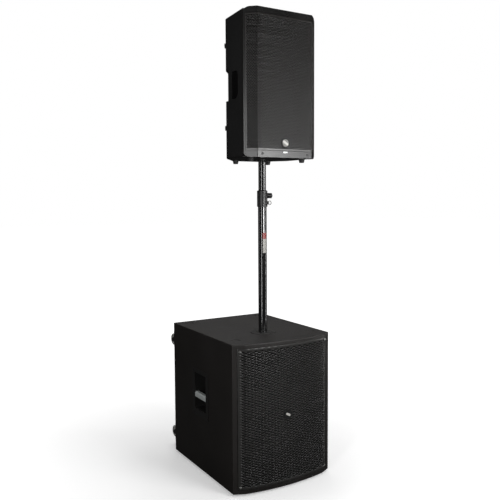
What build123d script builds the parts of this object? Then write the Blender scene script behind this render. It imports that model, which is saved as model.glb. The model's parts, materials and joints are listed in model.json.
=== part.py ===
from build123d import *

import os

# A public-address speaker stack: a bow-fronted subwoofer box with rear castors, a two-part
# telescopic pole screwed into its top, and a moulded two-way speaker that sits on the pole.
# Millimetres, +Z up, the grilles face -Y. The origin is under the middle of the whole stack,
# on the floor.

# ---- Driving dimensions: subwoofer -------------------------------------------------------
SUB_HALF_WIDTH = 259.0
SUB_BASE_Z = 10.0
SUB_HEIGHT = 660.0
SUB_TOP_Z = SUB_BASE_Z + SUB_HEIGHT
SUB_BACK_Y = 270.0
SUB_CORNER_Y = -330.0
BEND_X = 207.0
BEND_Y = -354.5
BOW_Y = -376.0
WALL = 18.0
EDGE_ROUND = 4.0
GRILLE_HALF_WIDTH = 238.0
GRILLE_SET_BACK = 1.5
GRILLE_SHEET = 2.0
GRILLE_LOW_Z = SUB_BASE_Z + WALL + 1
GRILLE_HIGH_Z = SUB_TOP_Z - WALL - 1
GRILLE_SCREW_X = 228.0
FOAM_SHEET = 5.0
BAFFLE_FRONT_Y = -322.0
SUB_AXIS_Z = 335.0
SUB_WOOFER_HOLE = 209.0
SUB_WOOFER_FLANGE = 228.0
SUB_WOOFER_DEPTH = 130.0
SUB_MAGNET_RADIUS = 95.0
SUB_BADGE_RADIUS = 22.0
SUB_PORT_RADIUS = 48.0
SUB_PORT_BORE = 45.0
SUB_PORT_LENGTH = 150.0
STACKING_X = 201.0
STACKING_Y = (-262.0, 206.0)
DIMPLE_RADIUS = 22.0
DIMPLE_DEPTH = 1.5

# ---- Driving dimensions: subwoofer amplifier ------------------------------------------------
AMP_HALF_X = 130.0
AMP_BASE_Z = 130.0
AMP_TOP_Z = 550.0
AMP_THICK = 4.0
AMP_LAP = 14.0
SUB_SOCKETS_AT = [(-95.0, 260.0), (-55.0, 260.0), (-15.0, 260.0), (25.0, 260.0)]
SUB_KNOB_AT = (85.0, 260.0)
SUB_INLET_AT = (-84.0, 188.0)
SUB_ROCKER_AT = (-31.0, 188.0)
SUB_SINK_X = (-105.0, 105.0)
SUB_SINK_Z = (310.0, 520.0)
SUB_MODULE_X = (-100.0, 100.0)
SUB_MODULE_DEPTH = 70.0

# ---- Driving dimensions: pole -------------------------------------------------------------
POLE_Y = -166.0
FLANGE_RADIUS = 58.0
FLANGE_SEAT = 4.0
FLANGE_BOSS_RADIUS = 24.0
STUD_RADIUS = 10.0
LOWER_TUBE_RADIUS = 20.0
UPPER_TUBE_RADIUS = 17.5
TUBE_WALL = 2.0
FLANGE_TOP_Z = SUB_TOP_Z + 1.5
COLLAR_BASE_Z = 1255.0
COLLAR_TOP_Z = 1330.0
COLLAR_RADIUS = 24.0
CLAMP_Z = 1306.0
LOCK_PIN_Z = 1273.0
UPPER_TUBE_BASE_Z = 1040.0
UPPER_TUBE_TOP_Z = 1552.0
UPPER_PIN_HOLE_Z = 1462.0
CLAMP_BOLT_RADIUS = 4.0
LOCK_PIN_RADIUS = 3.0

# ---- Driving dimensions: top speaker --------------------------------------------------------
TOP_BASE_Z = 1468.0
TOP_TOP_Z = 2090.0
TOP_FRONT_Y = -356.0
TOP_FLAT_HALF = 141.0
TOP_MAX_HALF = 186.0
TOP_MAX_Y = -314.0
TOP_SIDE_HALF = 168.0
TOP_SIDE_Y = -128.5
TOP_REAR_HALF = 74.0
TOP_REAR_Y = -10.0
PARTING_Y = -304.0
SHELL_INSET = 2.0
SHELL_WALL = 5.0
FRAME_WALL = 7.0
FRAME_CORNER = 22.0
FRAME_EDGE = 3.0
WINDOW_HALF = 180.5
WINDOW_BASE_Z = 1496.0
WINDOW_TOP_Z = 2066.0
TOP_BAFFLE_Y = -314.0
TOP_BAFFLE_THICK = 6.0
TOP_GRILLE_INSET = 0.8
TOP_GRILLE_SHEET = 1.6
TOP_BADGE_RADIUS = 21.0
TOP_BADGE_Z = 1531.0
LIGHT_HALF_X = 10.0
LIGHT_Z = (1488.0, 1494.0)
HORN_Z = 1962.0
HORN_HALF_X = 128.0
HORN_HALF_Z = 78.0
TOP_WOOFER_Z = 1655.0
TOP_WOOFER_HOLE = 141.0
TOP_WOOFER_FLANGE = 153.0
TOP_WOOFER_DEPTH = 92.0
TOP_MAGNET_RADIUS = 62.0
TOP_PORTS = [(-143.0, 1834.0), (143.0, 1834.0)]
TOP_PORT_RADIUS = 27.0
TOP_PORT_BORE = 24.5
TOP_PORT_LENGTH = 46.0
RIG_X = (-60.0, 60.0)
RIG_Y = -190.0

# ---- Driving dimensions: top speaker grips --------------------------------------------------
POCKET_X = 132.0
POCKET_Y = (-257.0, -197.0)
POCKET_Z = (1725.0, 1844.0)
GRIP_WALL = 4.0
NOTCH_Z = (1725.0, 1859.0)
NOTCH_FRONT = (158.0, -150.0)
NOTCH_REAR = (124.0, -73.0)

# ---- Driving dimensions: top speaker amplifier ----------------------------------------------
TOP_AMP_HALF_X = 66.0
TOP_AMP_Z = (1512.0, 1828.0)
TOP_AMP_THICK = 3.0
TOP_SOCKETS_AT = [(-42.0, 1690.0), (-9.0, 1690.0), (-9.0, 1648.0)]
TOP_KNOBS_AT = [(30.0, 1690.0), (30.0, 1648.0)]
TOP_INLET_AT = (-29.0, 1570.0)
TOP_ROCKER_AT = (28.0, 1570.0)
TOP_SINK_X = (-52.0, 52.0)
TOP_SINK_Z = (1722.0, 1812.0)

# ---- Driving dimensions: castors ------------------------------------------------------------
CASTOR_X = 217.0
CASTOR_HEIGHTS = (95.0, 585.0)
CASTOR_REACH = 106.0
CASTOR_TRAIL = 18.0
CASTOR_PLATE = 3.0
CASTOR_RACE = 14.0
WHEEL_RADIUS = 30.0
WHEEL_HALF_WIDTH = 12.0
AXLE_RADIUS = 5.0

# ---- Driving dimensions: subwoofer handles --------------------------------------------------
HANDLE_Y = -25.0
HANDLE_PLATE_Z = 379.0
HANDLE_PLATE_HALF_Y = 80.5
HANDLE_PLATE_HALF_Z = 112.5
HANDLE_PLATE_THICK = 2.0
CUP_HALF_Y = 58.5
CUP_HALF_Z = 89.5
CUP_Z = 386.0
CUP_WALL = 2.5
CUP_DEPTH = 75.0
GRIP_Z = 364.0
GRIP_HEIGHT = 28.0
GRIP_DEPTH = 24.0

# ---- Driving dimensions: panel sockets and switches -----------------------------------------
SOCKET_BARREL = 11.5
SOCKET_BORE = 9.0
SHAFT_RADIUS = 3.0
INLET_HALF_X = 14.0
INLET_HALF_Z = 10.5
BEZEL_HALF_X = 9.0
BEZEL_HALF_Z = 12.0

# ---- Clearances -----------------------------------------------------------------------------
HOLE_GAP = 0.2
FIT_GAP = 0.1
RUNNING_GAP = 0.08
MOVING_GAP = 0.4

PARTS = {}


# ---- Small shape helpers --------------------------------------------------------------------
def block(x_span, y_span, z_span):
    """A box between two values on each axis."""
    middle = [(low + high) / 2 for low, high in (x_span, y_span, z_span)]
    lengths = [abs(high - low) for low, high in (x_span, y_span, z_span)]
    return Pos(*middle) * Box(*lengths)


def rod(start, direction, radius, length):
    """A round bar that starts at a point and runs along a direction."""
    return extrude(Plane(origin=start, z_dir=direction) * Circle(radius), amount=length)


def tube(start, direction, outer_radius, inner_radius, length):
    """A round bar with a straight bore."""
    return rod(start, direction, outer_radius, length) - rod(start, direction, inner_radius, length)


def prism(points, z_low, z_high):
    """An upright prism over a closed plan outline."""
    face = make_face(Polyline(*points, close=True))
    return extrude(Pos(0, 0, z_low) * face, amount=z_high - z_low, dir=(0, 0, 1))


def turned(profile, origin, direction):
    """A turned solid: the profile lists (radius, distance along the axis) points."""
    points = [(radius, 0, along) for radius, along in profile]
    face = make_face(Polyline(*points, close=True))
    return Plane(origin=origin, z_dir=direction).location * revolve(face, Axis.Z)


def both_sides(shape):
    """A shape and its mirror image in the X = 0 plane."""
    return [shape, mirror(shape, about=Plane.YZ)]


def group(shapes):
    """Separate solids kept in one node."""
    solids = []
    for shape in shapes:
        solids.extend(shape.solids())
    return Compound(children=solids)


def cut(shape, tools):
    """A shape less every tool in a list."""
    for tool in tools:
        shape = shape - tool
    return shape


def screws(points, direction, head_radius, head_height, shank_radius, shank_length):
    """Pan-head screws whose heads stand on a surface at the given points."""
    out = Vector(*direction).normalized()
    shapes = []
    for point in points:
        seat = Vector(*point)
        head = rod(seat, out, head_radius, head_height)
        head = fillet(head.edges().sort_by(lambda edge: edge.center().dot(out))[-1], head_height * 0.6)
        shapes.append(head + rod(seat, -out, shank_radius, shank_length))
    return shapes


def screw_holes(points, direction, shank_radius, length):
    """Clearance holes for the shanks of a set of screws."""
    out = Vector(*direction).normalized()
    return [rod(Vector(*point), -out, shank_radius + HOLE_GAP, length) for point in points]


def panel_cuts(face, sockets, knobs, inlet, switch):
    """Openings through a rear panel for its sockets, knob shafts, mains inlet and switch."""
    reach = (face - 30, face + 30)
    cuts = [rod((x, reach[0], z), (0, 1, 0), SOCKET_BARREL + HOLE_GAP, 60) for x, z in sockets]
    cuts.extend(rod((x, reach[0], z), (0, 1, 0), SHAFT_RADIUS + MOVING_GAP, 60) for x, z in knobs)
    for (x, z), half_x, half_z in ((inlet, INLET_HALF_X, INLET_HALF_Z), (switch, BEZEL_HALF_X, BEZEL_HALF_Z)):
        across = half_x + HOLE_GAP
        up = half_z + HOLE_GAP
        cuts.append(block((x - across, x + across), reach, (z - up, z + up)))
    return cuts


# ---- Subwoofer box --------------------------------------------------------------------------
def bow_prism(shift, z_low, z_high):
    """The box's plan outline as a prism, with its bowed front moved back by shift."""
    corner = SUB_CORNER_Y + shift
    bend = BEND_Y + shift
    straight = Polyline(
        (BEND_X, bend),
        (SUB_HALF_WIDTH, corner),
        (SUB_HALF_WIDTH, SUB_BACK_Y),
        (-SUB_HALF_WIDTH, SUB_BACK_Y),
        (-SUB_HALF_WIDTH, corner),
        (-BEND_X, bend),
    )
    bow = ThreePointArc((-BEND_X, bend), (0, BOW_Y + shift), (BEND_X, bend))
    face = make_face(straight.edges() + bow.edges())
    return extrude(Pos(0, 0, z_low) * face, amount=z_high - z_low, dir=(0, 0, 1))


def sub_blank():
    """The whole plywood box as one block, with its outside edges rounded."""
    blank = bow_prism(0, SUB_BASE_Z, SUB_TOP_Z)
    corners = [edge for edge in blank.edges().filter_by(Axis.Z) if abs(edge.center().X) > BEND_X + 1]
    blank = fillet(corners, EDGE_ROUND)
    rims = blank.edges().group_by(Axis.Z)
    return fillet(rims[0] + rims[-1], EDGE_ROUND)


def stacking_points():
    """Where the feet stand, and where the next box's feet would stand on top."""
    return [(x, y) for x in (-STACKING_X, STACKING_X) for y in STACKING_Y]


def handle_screw_points():
    """Six screws in the handle plate on the +X side: corners and mid long sides."""
    reach_y = HANDLE_PLATE_HALF_Y - 11
    reach_z = HANDLE_PLATE_HALF_Z - 12
    face_x = SUB_HALF_WIDTH + HANDLE_PLATE_THICK
    rows = (HANDLE_PLATE_Z - reach_z, HANDLE_PLATE_Z, HANDLE_PLATE_Z + reach_z)
    return [(face_x, HANDLE_Y + side * reach_y, z) for side in (-1, 1) for z in rows]


def castor_screw_points():
    """Four screws in each castor plate."""
    points = []
    for x in (-CASTOR_X, CASTOR_X):
        for z in CASTOR_HEIGHTS:
            for side_x in (-30, 30):
                for side_z in (-35, 35):
                    points.append((x + side_x, SUB_BACK_Y + CASTOR_PLATE, z + side_z))
    return points


def sub_amp_screw_points():
    """Screws round the edge of the subwoofer's amplifier plate."""
    face_y = SUB_BACK_Y + AMP_THICK
    rows = (AMP_BASE_Z + 7, (AMP_BASE_Z + AMP_TOP_Z) / 2, AMP_TOP_Z - 7)
    return [(x, face_y, z) for x in (-AMP_HALF_X + 7, 0, AMP_HALF_X - 7) for z in rows if x or z != rows[1]]


def sub_panels():
    """Two sides, top, bottom and back, cut out of the rounded block."""
    blank = sub_blank()
    inside = SUB_HALF_WIDTH - WALL
    deep = (BOW_Y - 5, SUB_BACK_Y + 5)
    high = (SUB_BASE_Z - 5, SUB_TOP_Z + 5)
    side = blank & block((inside, SUB_HALF_WIDTH + 5), deep, high)
    cup_hole = block(
        (inside - 5, SUB_HALF_WIDTH + 5),
        (HANDLE_Y - CUP_HALF_Y - 0.5, HANDLE_Y + CUP_HALF_Y + 0.5),
        (CUP_Z - CUP_HALF_Z - 0.5, CUP_Z + CUP_HALF_Z + 0.5),
    )
    side = cut(side, [cup_hole] + screw_holes(handle_screw_points(), (1, 0, 0), 2.5, 16))
    side = cut(side, screw_holes(castor_screw_points()[8:], (0, 1, 0), 2.5, 22))
    PARTS["sub_side_right"] = side
    PARTS["sub_side_left"] = mirror(side, about=Plane.YZ)

    across = (-inside, inside)
    top = blank & block(across, deep, (SUB_TOP_Z - WALL, SUB_TOP_Z + 5))
    dimple_z = SUB_TOP_Z - DIMPLE_DEPTH
    dimples = [rod((x, y, dimple_z), (0, 0, 1), DIMPLE_RADIUS, 10) for x, y in stacking_points()]
    recess = rod((0, POLE_Y, SUB_TOP_Z - FLANGE_SEAT), (0, 0, 1), FLANGE_RADIUS + 1.6, 10)
    boss_hole = rod((0, POLE_Y, SUB_TOP_Z - 30), (0, 0, 1), FLANGE_BOSS_RADIUS + HOLE_GAP, 40)
    top = cut(top, dimples + [recess, boss_hole])
    top = cut(top, screw_holes(flange_screw_points(), (0, 0, 1), 2.5, 18))
    PARTS["sub_top_panel"] = top

    bottom = blank & block(across, deep, (SUB_BASE_Z - 5, SUB_BASE_Z + WALL))
    PARTS["sub_bottom_panel"] = cut(bottom, [rod((x, y, 0), (0, 0, 1), 3 + HOLE_GAP, 24)
                                             for x, y in stacking_points()])

    floor_z = SUB_BASE_Z + WALL
    roof_z = SUB_TOP_Z - WALL
    back = block(across, (SUB_BACK_Y - WALL, SUB_BACK_Y), (floor_z, roof_z))
    window_half = AMP_HALF_X - AMP_LAP
    window = block((-window_half, window_half), deep, (AMP_BASE_Z + AMP_LAP, AMP_TOP_Z - AMP_LAP))
    back = cut(back, [window] + screw_holes(sub_amp_screw_points(), (0, 1, 0), 2, 18))
    PARTS["sub_back_panel"] = cut(back, screw_holes(castor_screw_points(), (0, 1, 0), 2.5, 22))

    baffle = block(across, (BAFFLE_FRONT_Y, BAFFLE_FRONT_Y + WALL), (floor_z, roof_z))
    woofer_hole = rod((0, BAFFLE_FRONT_Y - 5, SUB_AXIS_Z), (0, 1, 0), SUB_WOOFER_HOLE, 40)
    port_holes = [rod((x, BAFFLE_FRONT_Y - 5, z), (0, 1, 0), SUB_PORT_RADIUS + HOLE_GAP, 40)
                  for x, z in port_points()]
    PARTS["sub_baffle"] = cut(baffle, [woofer_hole] + port_holes)


def port_points():
    """The four corners of the baffle where the bass ports open."""
    return [(x, SUB_AXIS_Z + z) for x in (-186.0, 186.0) for z in (-259.0, 259.0)]


def sub_ports():
    """Four straight port tubes behind the baffle."""
    PARTS["sub_port_tubes"] = group(
        tube((x, BAFFLE_FRONT_Y, z), (0, 1, 0), SUB_PORT_RADIUS, SUB_PORT_BORE, SUB_PORT_LENGTH)
        for x, z in port_points()
    )


def bowed_tray(front, sheet, half_width, z_low, z_high, back_y):
    """A sheet pan that follows the bow, with straight edges turned back to back_y."""
    outer = bow_prism(front, z_low, z_high) & block((-half_width, half_width), (-400, back_y), (0, 700))
    inner = bow_prism(front + sheet, z_low + sheet, z_high - sheet)
    return outer - (inner & block((sheet - half_width, half_width - sheet), (-400, 0), (0, 700)))


def grille_face_y(x):
    """The grille's outer surface on its flat end facets."""
    slope = (SUB_CORNER_Y - BEND_Y) / (SUB_HALF_WIDTH - BEND_X)
    return BEND_Y + GRILLE_SET_BACK + slope * (abs(x) - BEND_X)


def sub_front():
    """Bowed grille, the foam behind it, its four corner screws and the round badge."""
    tray = bowed_tray(GRILLE_SET_BACK, GRILLE_SHEET, GRILLE_HALF_WIDTH, GRILLE_LOW_Z, GRILLE_HIGH_Z,
                      BAFFLE_FRONT_Y)
    run = Vector(SUB_HALF_WIDTH - BEND_X, SUB_CORNER_Y - BEND_Y, 0).normalized()
    normal = Vector(run.Y, -run.X, 0)
    seat_y = grille_face_y(GRILLE_SCREW_X)
    seats = [(GRILLE_SCREW_X, seat_y, z) for z in (GRILLE_LOW_Z + 11, GRILLE_HIGH_Z - 11)]
    right = screws(seats, normal, 5.5, 2.2, 2.5, 8)
    PARTS["sub_grille_screws"] = group([half for screw in right for half in both_sides(screw)])
    holes = [half for hole in screw_holes(seats, normal, 2.5, 12) for half in both_sides(hole)]
    badge_seat = (0, BOW_Y + GRILLE_SET_BACK + 0.6, SUB_AXIS_Z)
    badge_hole = rod(badge_seat, (0, -1, 0), SUB_BADGE_RADIUS, 5)
    PARTS["sub_grille"] = cut(tray, holes + [badge_hole])
    PARTS["sub_badge"] = rod(badge_seat, (0, -1, 0), SUB_BADGE_RADIUS, badge_seat[1] - BOW_Y)
    start = GRILLE_SET_BACK + GRILLE_SHEET
    foam = bow_prism(start, GRILLE_LOW_Z + 3, GRILLE_HIGH_Z - 3) - bow_prism(start + FOAM_SHEET, 0, 700)
    foam = foam & block((3 - GRILLE_HALF_WIDTH, GRILLE_HALF_WIDTH - 3), (-400, -300), (0, 700))
    PARTS["sub_grille_foam"] = cut(foam, holes)


def loudspeaker(prefix, centre, flange_radius, depth, magnet_radius, hole_radius):
    """A cone driver: basket, magnet, surround and moving cone, facing -Y from the baffle."""
    x, front, z = centre
    origin = (x, front, z)
    back = (0, 1, 0)
    rim = hole_radius - 1
    coil = magnet_radius * 0.42
    basket = turned(
        [(rim - 4, -8), (flange_radius, -8), (flange_radius, 0), (rim, 0), (magnet_radius, depth - 5),
         (magnet_radius, depth), (coil + 2, depth), (coil + 2, depth - 4), (magnet_radius - 5, depth - 5),
         (rim - 4, 0)],
        origin, back)
    magnet = turned(
        [(coil + 2, depth), (magnet_radius + 8, depth), (magnet_radius + 8, depth + magnet_radius * 0.6),
         (0, depth + magnet_radius * 0.6), (0, depth + magnet_radius * 0.6 - 8),
         (coil + 2, depth + magnet_radius * 0.6 - 8)],
        origin, back)
    edge = rim * 0.9
    surround = turned(
        [(edge + 0.5, -7), (edge + 3, -11), (rim - 7, -11), (rim - 4.5, -7), (rim - 4.5, -3),
         (edge + 0.5, -3)],
        origin, back)
    cone = turned(
        [(coil - 2, depth * 0.5), (edge, -6), (edge, -3), (coil + 1, depth * 0.5 + 4),
         (coil + 1, depth + 12), (coil - 1, depth + 12), (coil - 1, depth * 0.5 + 3), (0, depth * 0.36),
         (0, depth * 0.36 - 3)],
        origin, back)
    PARTS[prefix + "_woofer_frame"] = group([basket, magnet, surround])
    PARTS[prefix + "_woofer_cone"] = cone


# ---- Subwoofer fittings ---------------------------------------------------------------------
def sub_handles():
    """Moulded handle cups let into both sides, each with a bar grip across it."""
    outside = SUB_HALF_WIDTH + HANDLE_PLATE_THICK
    plate = block(
        (SUB_HALF_WIDTH, outside),
        (HANDLE_Y - HANDLE_PLATE_HALF_Y, HANDLE_Y + HANDLE_PLATE_HALF_Y),
        (HANDLE_PLATE_Z - HANDLE_PLATE_HALF_Z, HANDLE_PLATE_Z + HANDLE_PLATE_HALF_Z),
    )
    plate = fillet(plate.edges().filter_by(Axis.X), 6)
    cup = block(
        (SUB_HALF_WIDTH - CUP_DEPTH, SUB_HALF_WIDTH + 0.5),
        (HANDLE_Y - CUP_HALF_Y, HANDLE_Y + CUP_HALF_Y),
        (CUP_Z - CUP_HALF_Z, CUP_Z + CUP_HALF_Z),
    )
    mouth = block(
        (SUB_HALF_WIDTH - CUP_DEPTH + CUP_WALL, outside + 5),
        (HANDLE_Y - CUP_HALF_Y + CUP_WALL, HANDLE_Y + CUP_HALF_Y - CUP_WALL),
        (CUP_Z - CUP_HALF_Z + CUP_WALL, CUP_Z + CUP_HALF_Z - CUP_WALL),
    )
    cup = fillet(cup.edges().filter_by(Axis.X), 8)
    mouth = fillet(mouth.edges().filter_by(Axis.X), 5.5)
    points = handle_screw_points()
    right = cut(plate + cup, [mouth] + screw_holes(points, (1, 0, 0), 2.5, 16))
    grip_y = CUP_HALF_Y - CUP_WALL
    grip = block(
        (SUB_HALF_WIDTH + 0.5 - GRIP_DEPTH, SUB_HALF_WIDTH + 0.5),
        (HANDLE_Y - grip_y, HANDLE_Y + grip_y),
        (GRIP_Z - GRIP_HEIGHT / 2, GRIP_Z + GRIP_HEIGHT / 2),
    )
    grip = fillet(grip.edges().filter_by(Axis.Y), 7)
    PARTS["sub_handle_cups"] = group(both_sides(right))
    PARTS["sub_handle_grips"] = group(both_sides(grip))


def sub_feet():
    """Four rubber feet, each with a spigot up into the bottom panel."""
    shapes = []
    for x, y in stacking_points():
        foot = Pos(x, y, SUB_BASE_Z / 2) * Cone(17, 20, SUB_BASE_Z)
        shapes.append(foot + rod((x, y, SUB_BASE_Z), (0, 0, 1), 3, 12))
    PARTS["sub_feet"] = group(shapes)


def castors():
    """Four swivel castors on the back: fixed plates, turning forks and rolling wheels."""
    plates = []
    holes = screw_holes(castor_screw_points(), (0, 1, 0), 2.5, 22)
    axle_y = SUB_BACK_Y + CASTOR_REACH - WHEEL_RADIUS
    race_y = SUB_BACK_Y + CASTOR_PLATE
    fork_y = race_y + CASTOR_RACE + MOVING_GAP
    count = 0
    for z in CASTOR_HEIGHTS:
        for x in (-CASTOR_X, CASTOR_X):
            count = count + 1
            plate = block((x - 40, x + 40), (SUB_BACK_Y, race_y), (z - 45, z + 45))
            plate = fillet(plate.edges().filter_by(Axis.Y), 8)
            race = rod((x, race_y, z), (0, 1, 0), 25, CASTOR_RACE)
            race = fillet(race.edges().filter_by(GeomType.CIRCLE).sort_by(Axis.Y)[-1], 3)
            plates.append(cut(plate + race, [rod((x, SUB_BACK_Y - 1, z), (0, 1, 0), 6.1, 25)] + holes))
            axle_z = z - CASTOR_TRAIL
            crown = rod((x, fork_y, z), (0, 1, 0), 27, 3)
            crown = crown + rod((x, fork_y - 12, z), (0, 1, 0), 6, 12)
            for side in (-1, 1):
                inner = x + side * (WHEEL_HALF_WIDTH + 2)
                outer = inner + side * 2.5
                leg = make_face(Polyline(
                    (fork_y, z + 20), (axle_y - 6, axle_z + 11), (axle_y + 9, axle_z + 3),
                    (axle_y + 9, axle_z - 5), (axle_y - 4, axle_z - 11), (fork_y, z - 22), close=True))
                leg = Plane(origin=(inner, 0, 0), x_dir=(0, 1, 0), z_dir=(1, 0, 0)) * leg
                crown = crown + extrude(leg, amount=outer - inner, dir=(1, 0, 0))
            reach = WHEEL_HALF_WIDTH + 7
            axle = rod((x - reach, axle_y, axle_z), (1, 0, 0), AXLE_RADIUS, 2 * reach)
            PARTS["castor_fork_%d" % count] = crown + axle
            wheel = rod((x - WHEEL_HALF_WIDTH, axle_y, axle_z), (1, 0, 0), WHEEL_RADIUS, 2 * WHEEL_HALF_WIDTH)
            wheel = fillet(wheel.edges().filter_by(GeomType.CIRCLE), 5)
            hollows = [tube((x + side * (WHEEL_HALF_WIDTH - 3), axle_y, axle_z), (side, 0, 0),
                            WHEEL_RADIUS - 9, AXLE_RADIUS + 5, 6) for side in (-1, 1)]
            bore = rod((x - 20, axle_y, axle_z), (1, 0, 0), AXLE_RADIUS + RUNNING_GAP, 40)
            PARTS["castor_wheel_%d" % count] = cut(wheel, hollows + [bore])
    PARTS["castor_plates"] = group(plates)


def fins(x_span, y_span, z_span, count):
    """A finned heatsink: a base plate and upright fins that stand out towards +Y."""
    sink = block(x_span, (y_span[0], y_span[0] + 4), z_span)
    pitch = (x_span[1] - x_span[0] - 3) / (count - 1)
    for index in range(count):
        left = x_span[0] + index * pitch
        sink = sink + block((left, left + 3), y_span, z_span)
    return sink


def socket_body(x, y, z):
    """A square-flanged round socket that faces +Y."""
    flange = block((x - 13, x + 13), (y, y + 2), (z - 15, z + 15))
    flange = fillet(flange.edges().filter_by(Axis.Y), 3)
    body = flange + rod((x, y - 22, z), (0, 1, 0), SOCKET_BARREL, 22)
    return body - rod((x, y - 18, z), (0, 1, 0), SOCKET_BORE, 25)


def mains_inlet(x, y, z):
    """A three-pin mains inlet that faces +Y."""
    flange = block((x - 25, x + 25), (y, y + 2), (z - 15, z + 15))
    flange = fillet(flange.edges().filter_by(Axis.Y), 4)
    shroud = block((x - INLET_HALF_X, x + INLET_HALF_X), (y - 20, y), (z - INLET_HALF_Z, z + INLET_HALF_Z))
    body = flange + shroud
    body = body - block((x - 12, x + 12), (y - 17, y + 5), (z - 8.5, z + 8.5))
    for pin_x, pin_z in ((-7, -2), (0, 3), (7, -2)):
        body = body + block((x + pin_x - 1, x + pin_x + 1), (y - 18, y - 2), (z + pin_z - 2, z + pin_z + 2))
    return body


def knob(x, y, z, radius, height):
    """A level knob on a short shaft that runs through the panel at y, facing +Y."""
    cap = rod((x, y + MOVING_GAP, z), (0, 1, 0), radius, height)
    cap = fillet(cap.edges().filter_by(GeomType.CIRCLE).sort_by(Axis.Y)[-1], 1)
    top = y + height
    pointer = block((x - 0.8, x + 0.8), (top - 0.6, top + 2), (z + radius * 0.3, z + radius + 1))
    return (cap - pointer) + rod((x, y - 9, z), (0, 1, 0), SHAFT_RADIUS, 10)


def rocker(x, y, z):
    """A mains rocker switch button that faces +Y and tips about a pin along X."""
    points = [(y - 8, z - 8.5), (y + 3.2, z - 8.5), (y + 1.2, z), (y + 3.2, z + 8.5), (y - 8, z + 8.5)]
    face = make_face(Polyline(*points, close=True))
    face = Plane(origin=(x - 6, 0, 0), x_dir=(0, 1, 0), z_dir=(1, 0, 0)) * face
    return extrude(face, amount=12, dir=(1, 0, 0))


def rocker_bezel(x, y, z):
    """The frame that the rocker button sits in, open at the back."""
    flange = block((x - 11, x + 11), (y, y + 1.5), (z - 14, z + 14))
    sleeve = block((x - BEZEL_HALF_X, x + BEZEL_HALF_X), (y - 12, y), (z - BEZEL_HALF_Z, z + BEZEL_HALF_Z))
    return flange + sleeve - block((x - 6.6, x + 6.6), (y - 20, y + 5), (z - 10.5, z + 10.5))


def sub_amplifier():
    """Rear amplifier: plate, heatsink, sockets, knob, mains switch and the module inside."""
    face = SUB_BACK_Y + AMP_THICK
    plate = block((-AMP_HALF_X, AMP_HALF_X), (SUB_BACK_Y, face), (AMP_BASE_Z, AMP_TOP_Z))
    plate = fillet(plate.edges().filter_by(Axis.Y), 6)
    cuts = panel_cuts(face, SUB_SOCKETS_AT, [SUB_KNOB_AT], SUB_INLET_AT, SUB_ROCKER_AT)
    PARTS["sub_amp_plate"] = cut(plate, cuts + screw_holes(sub_amp_screw_points(), (0, 1, 0), 2, 20))
    inlet_x, inlet_z = SUB_INLET_AT
    rocker_x, rocker_z = SUB_ROCKER_AT
    knob_x, knob_z = SUB_KNOB_AT
    sockets = [socket_body(x, face, z) for x, z in SUB_SOCKETS_AT]
    sockets.append(mains_inlet(inlet_x, face, inlet_z))
    sockets.append(rocker_bezel(rocker_x, face, rocker_z))
    PARTS["sub_sockets"] = group(sockets)
    PARTS["sub_power_switch"] = rocker(rocker_x, face, rocker_z)
    PARTS["sub_level_knob"] = knob(knob_x, face, knob_z, 11, 14)
    PARTS["sub_heatsink"] = fins(SUB_SINK_X, (face, face + 28), SUB_SINK_Z, 15)
    PARTS["sub_amp_module"] = block(SUB_MODULE_X, (SUB_BACK_Y - SUB_MODULE_DEPTH, SUB_BACK_Y), SUB_SINK_Z)


# ---- Pole -----------------------------------------------------------------------------------
def flange_screw_points():
    """Four screws that hold the pole flange down."""
    reach = 46 * 0.7071
    return [(x, POLE_Y + y, FLANGE_TOP_Z) for x in (-reach, reach) for y in (-reach, reach)]


def pole_base():
    """The threaded flange in the subwoofer's top and the stud that screws into it."""
    seat_z = SUB_TOP_Z - FLANGE_SEAT
    plate = rod((0, POLE_Y, seat_z), (0, 0, 1), FLANGE_RADIUS, FLANGE_TOP_Z - seat_z)
    plate = fillet(plate.edges().filter_by(GeomType.CIRCLE).sort_by(Axis.Z)[-1], 1.2)
    groove = tube((0, POLE_Y, FLANGE_TOP_Z - 1), (0, 0, 1), 34, 31, 3)
    boss = rod((0, POLE_Y, SUB_TOP_Z - 38), (0, 0, 1), FLANGE_BOSS_RADIUS, 34)
    thread = rod((0, POLE_Y, SUB_TOP_Z - 40), (0, 0, 1), STUD_RADIUS + FIT_GAP, 60)
    points = flange_screw_points()
    PARTS["pole_flange"] = cut(plate + boss, [groove, thread] + screw_holes(points, (0, 0, 1), 2.5, 20))
    stud = rod((0, POLE_Y, SUB_TOP_Z - 36), (0, 0, 1), STUD_RADIUS, 40)
    plug = rod((0, POLE_Y, FLANGE_TOP_Z), (0, 0, 1), LOWER_TUBE_RADIUS - TUBE_WALL - FIT_GAP, 32)
    PARTS["pole_stud"] = stud + plug


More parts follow.
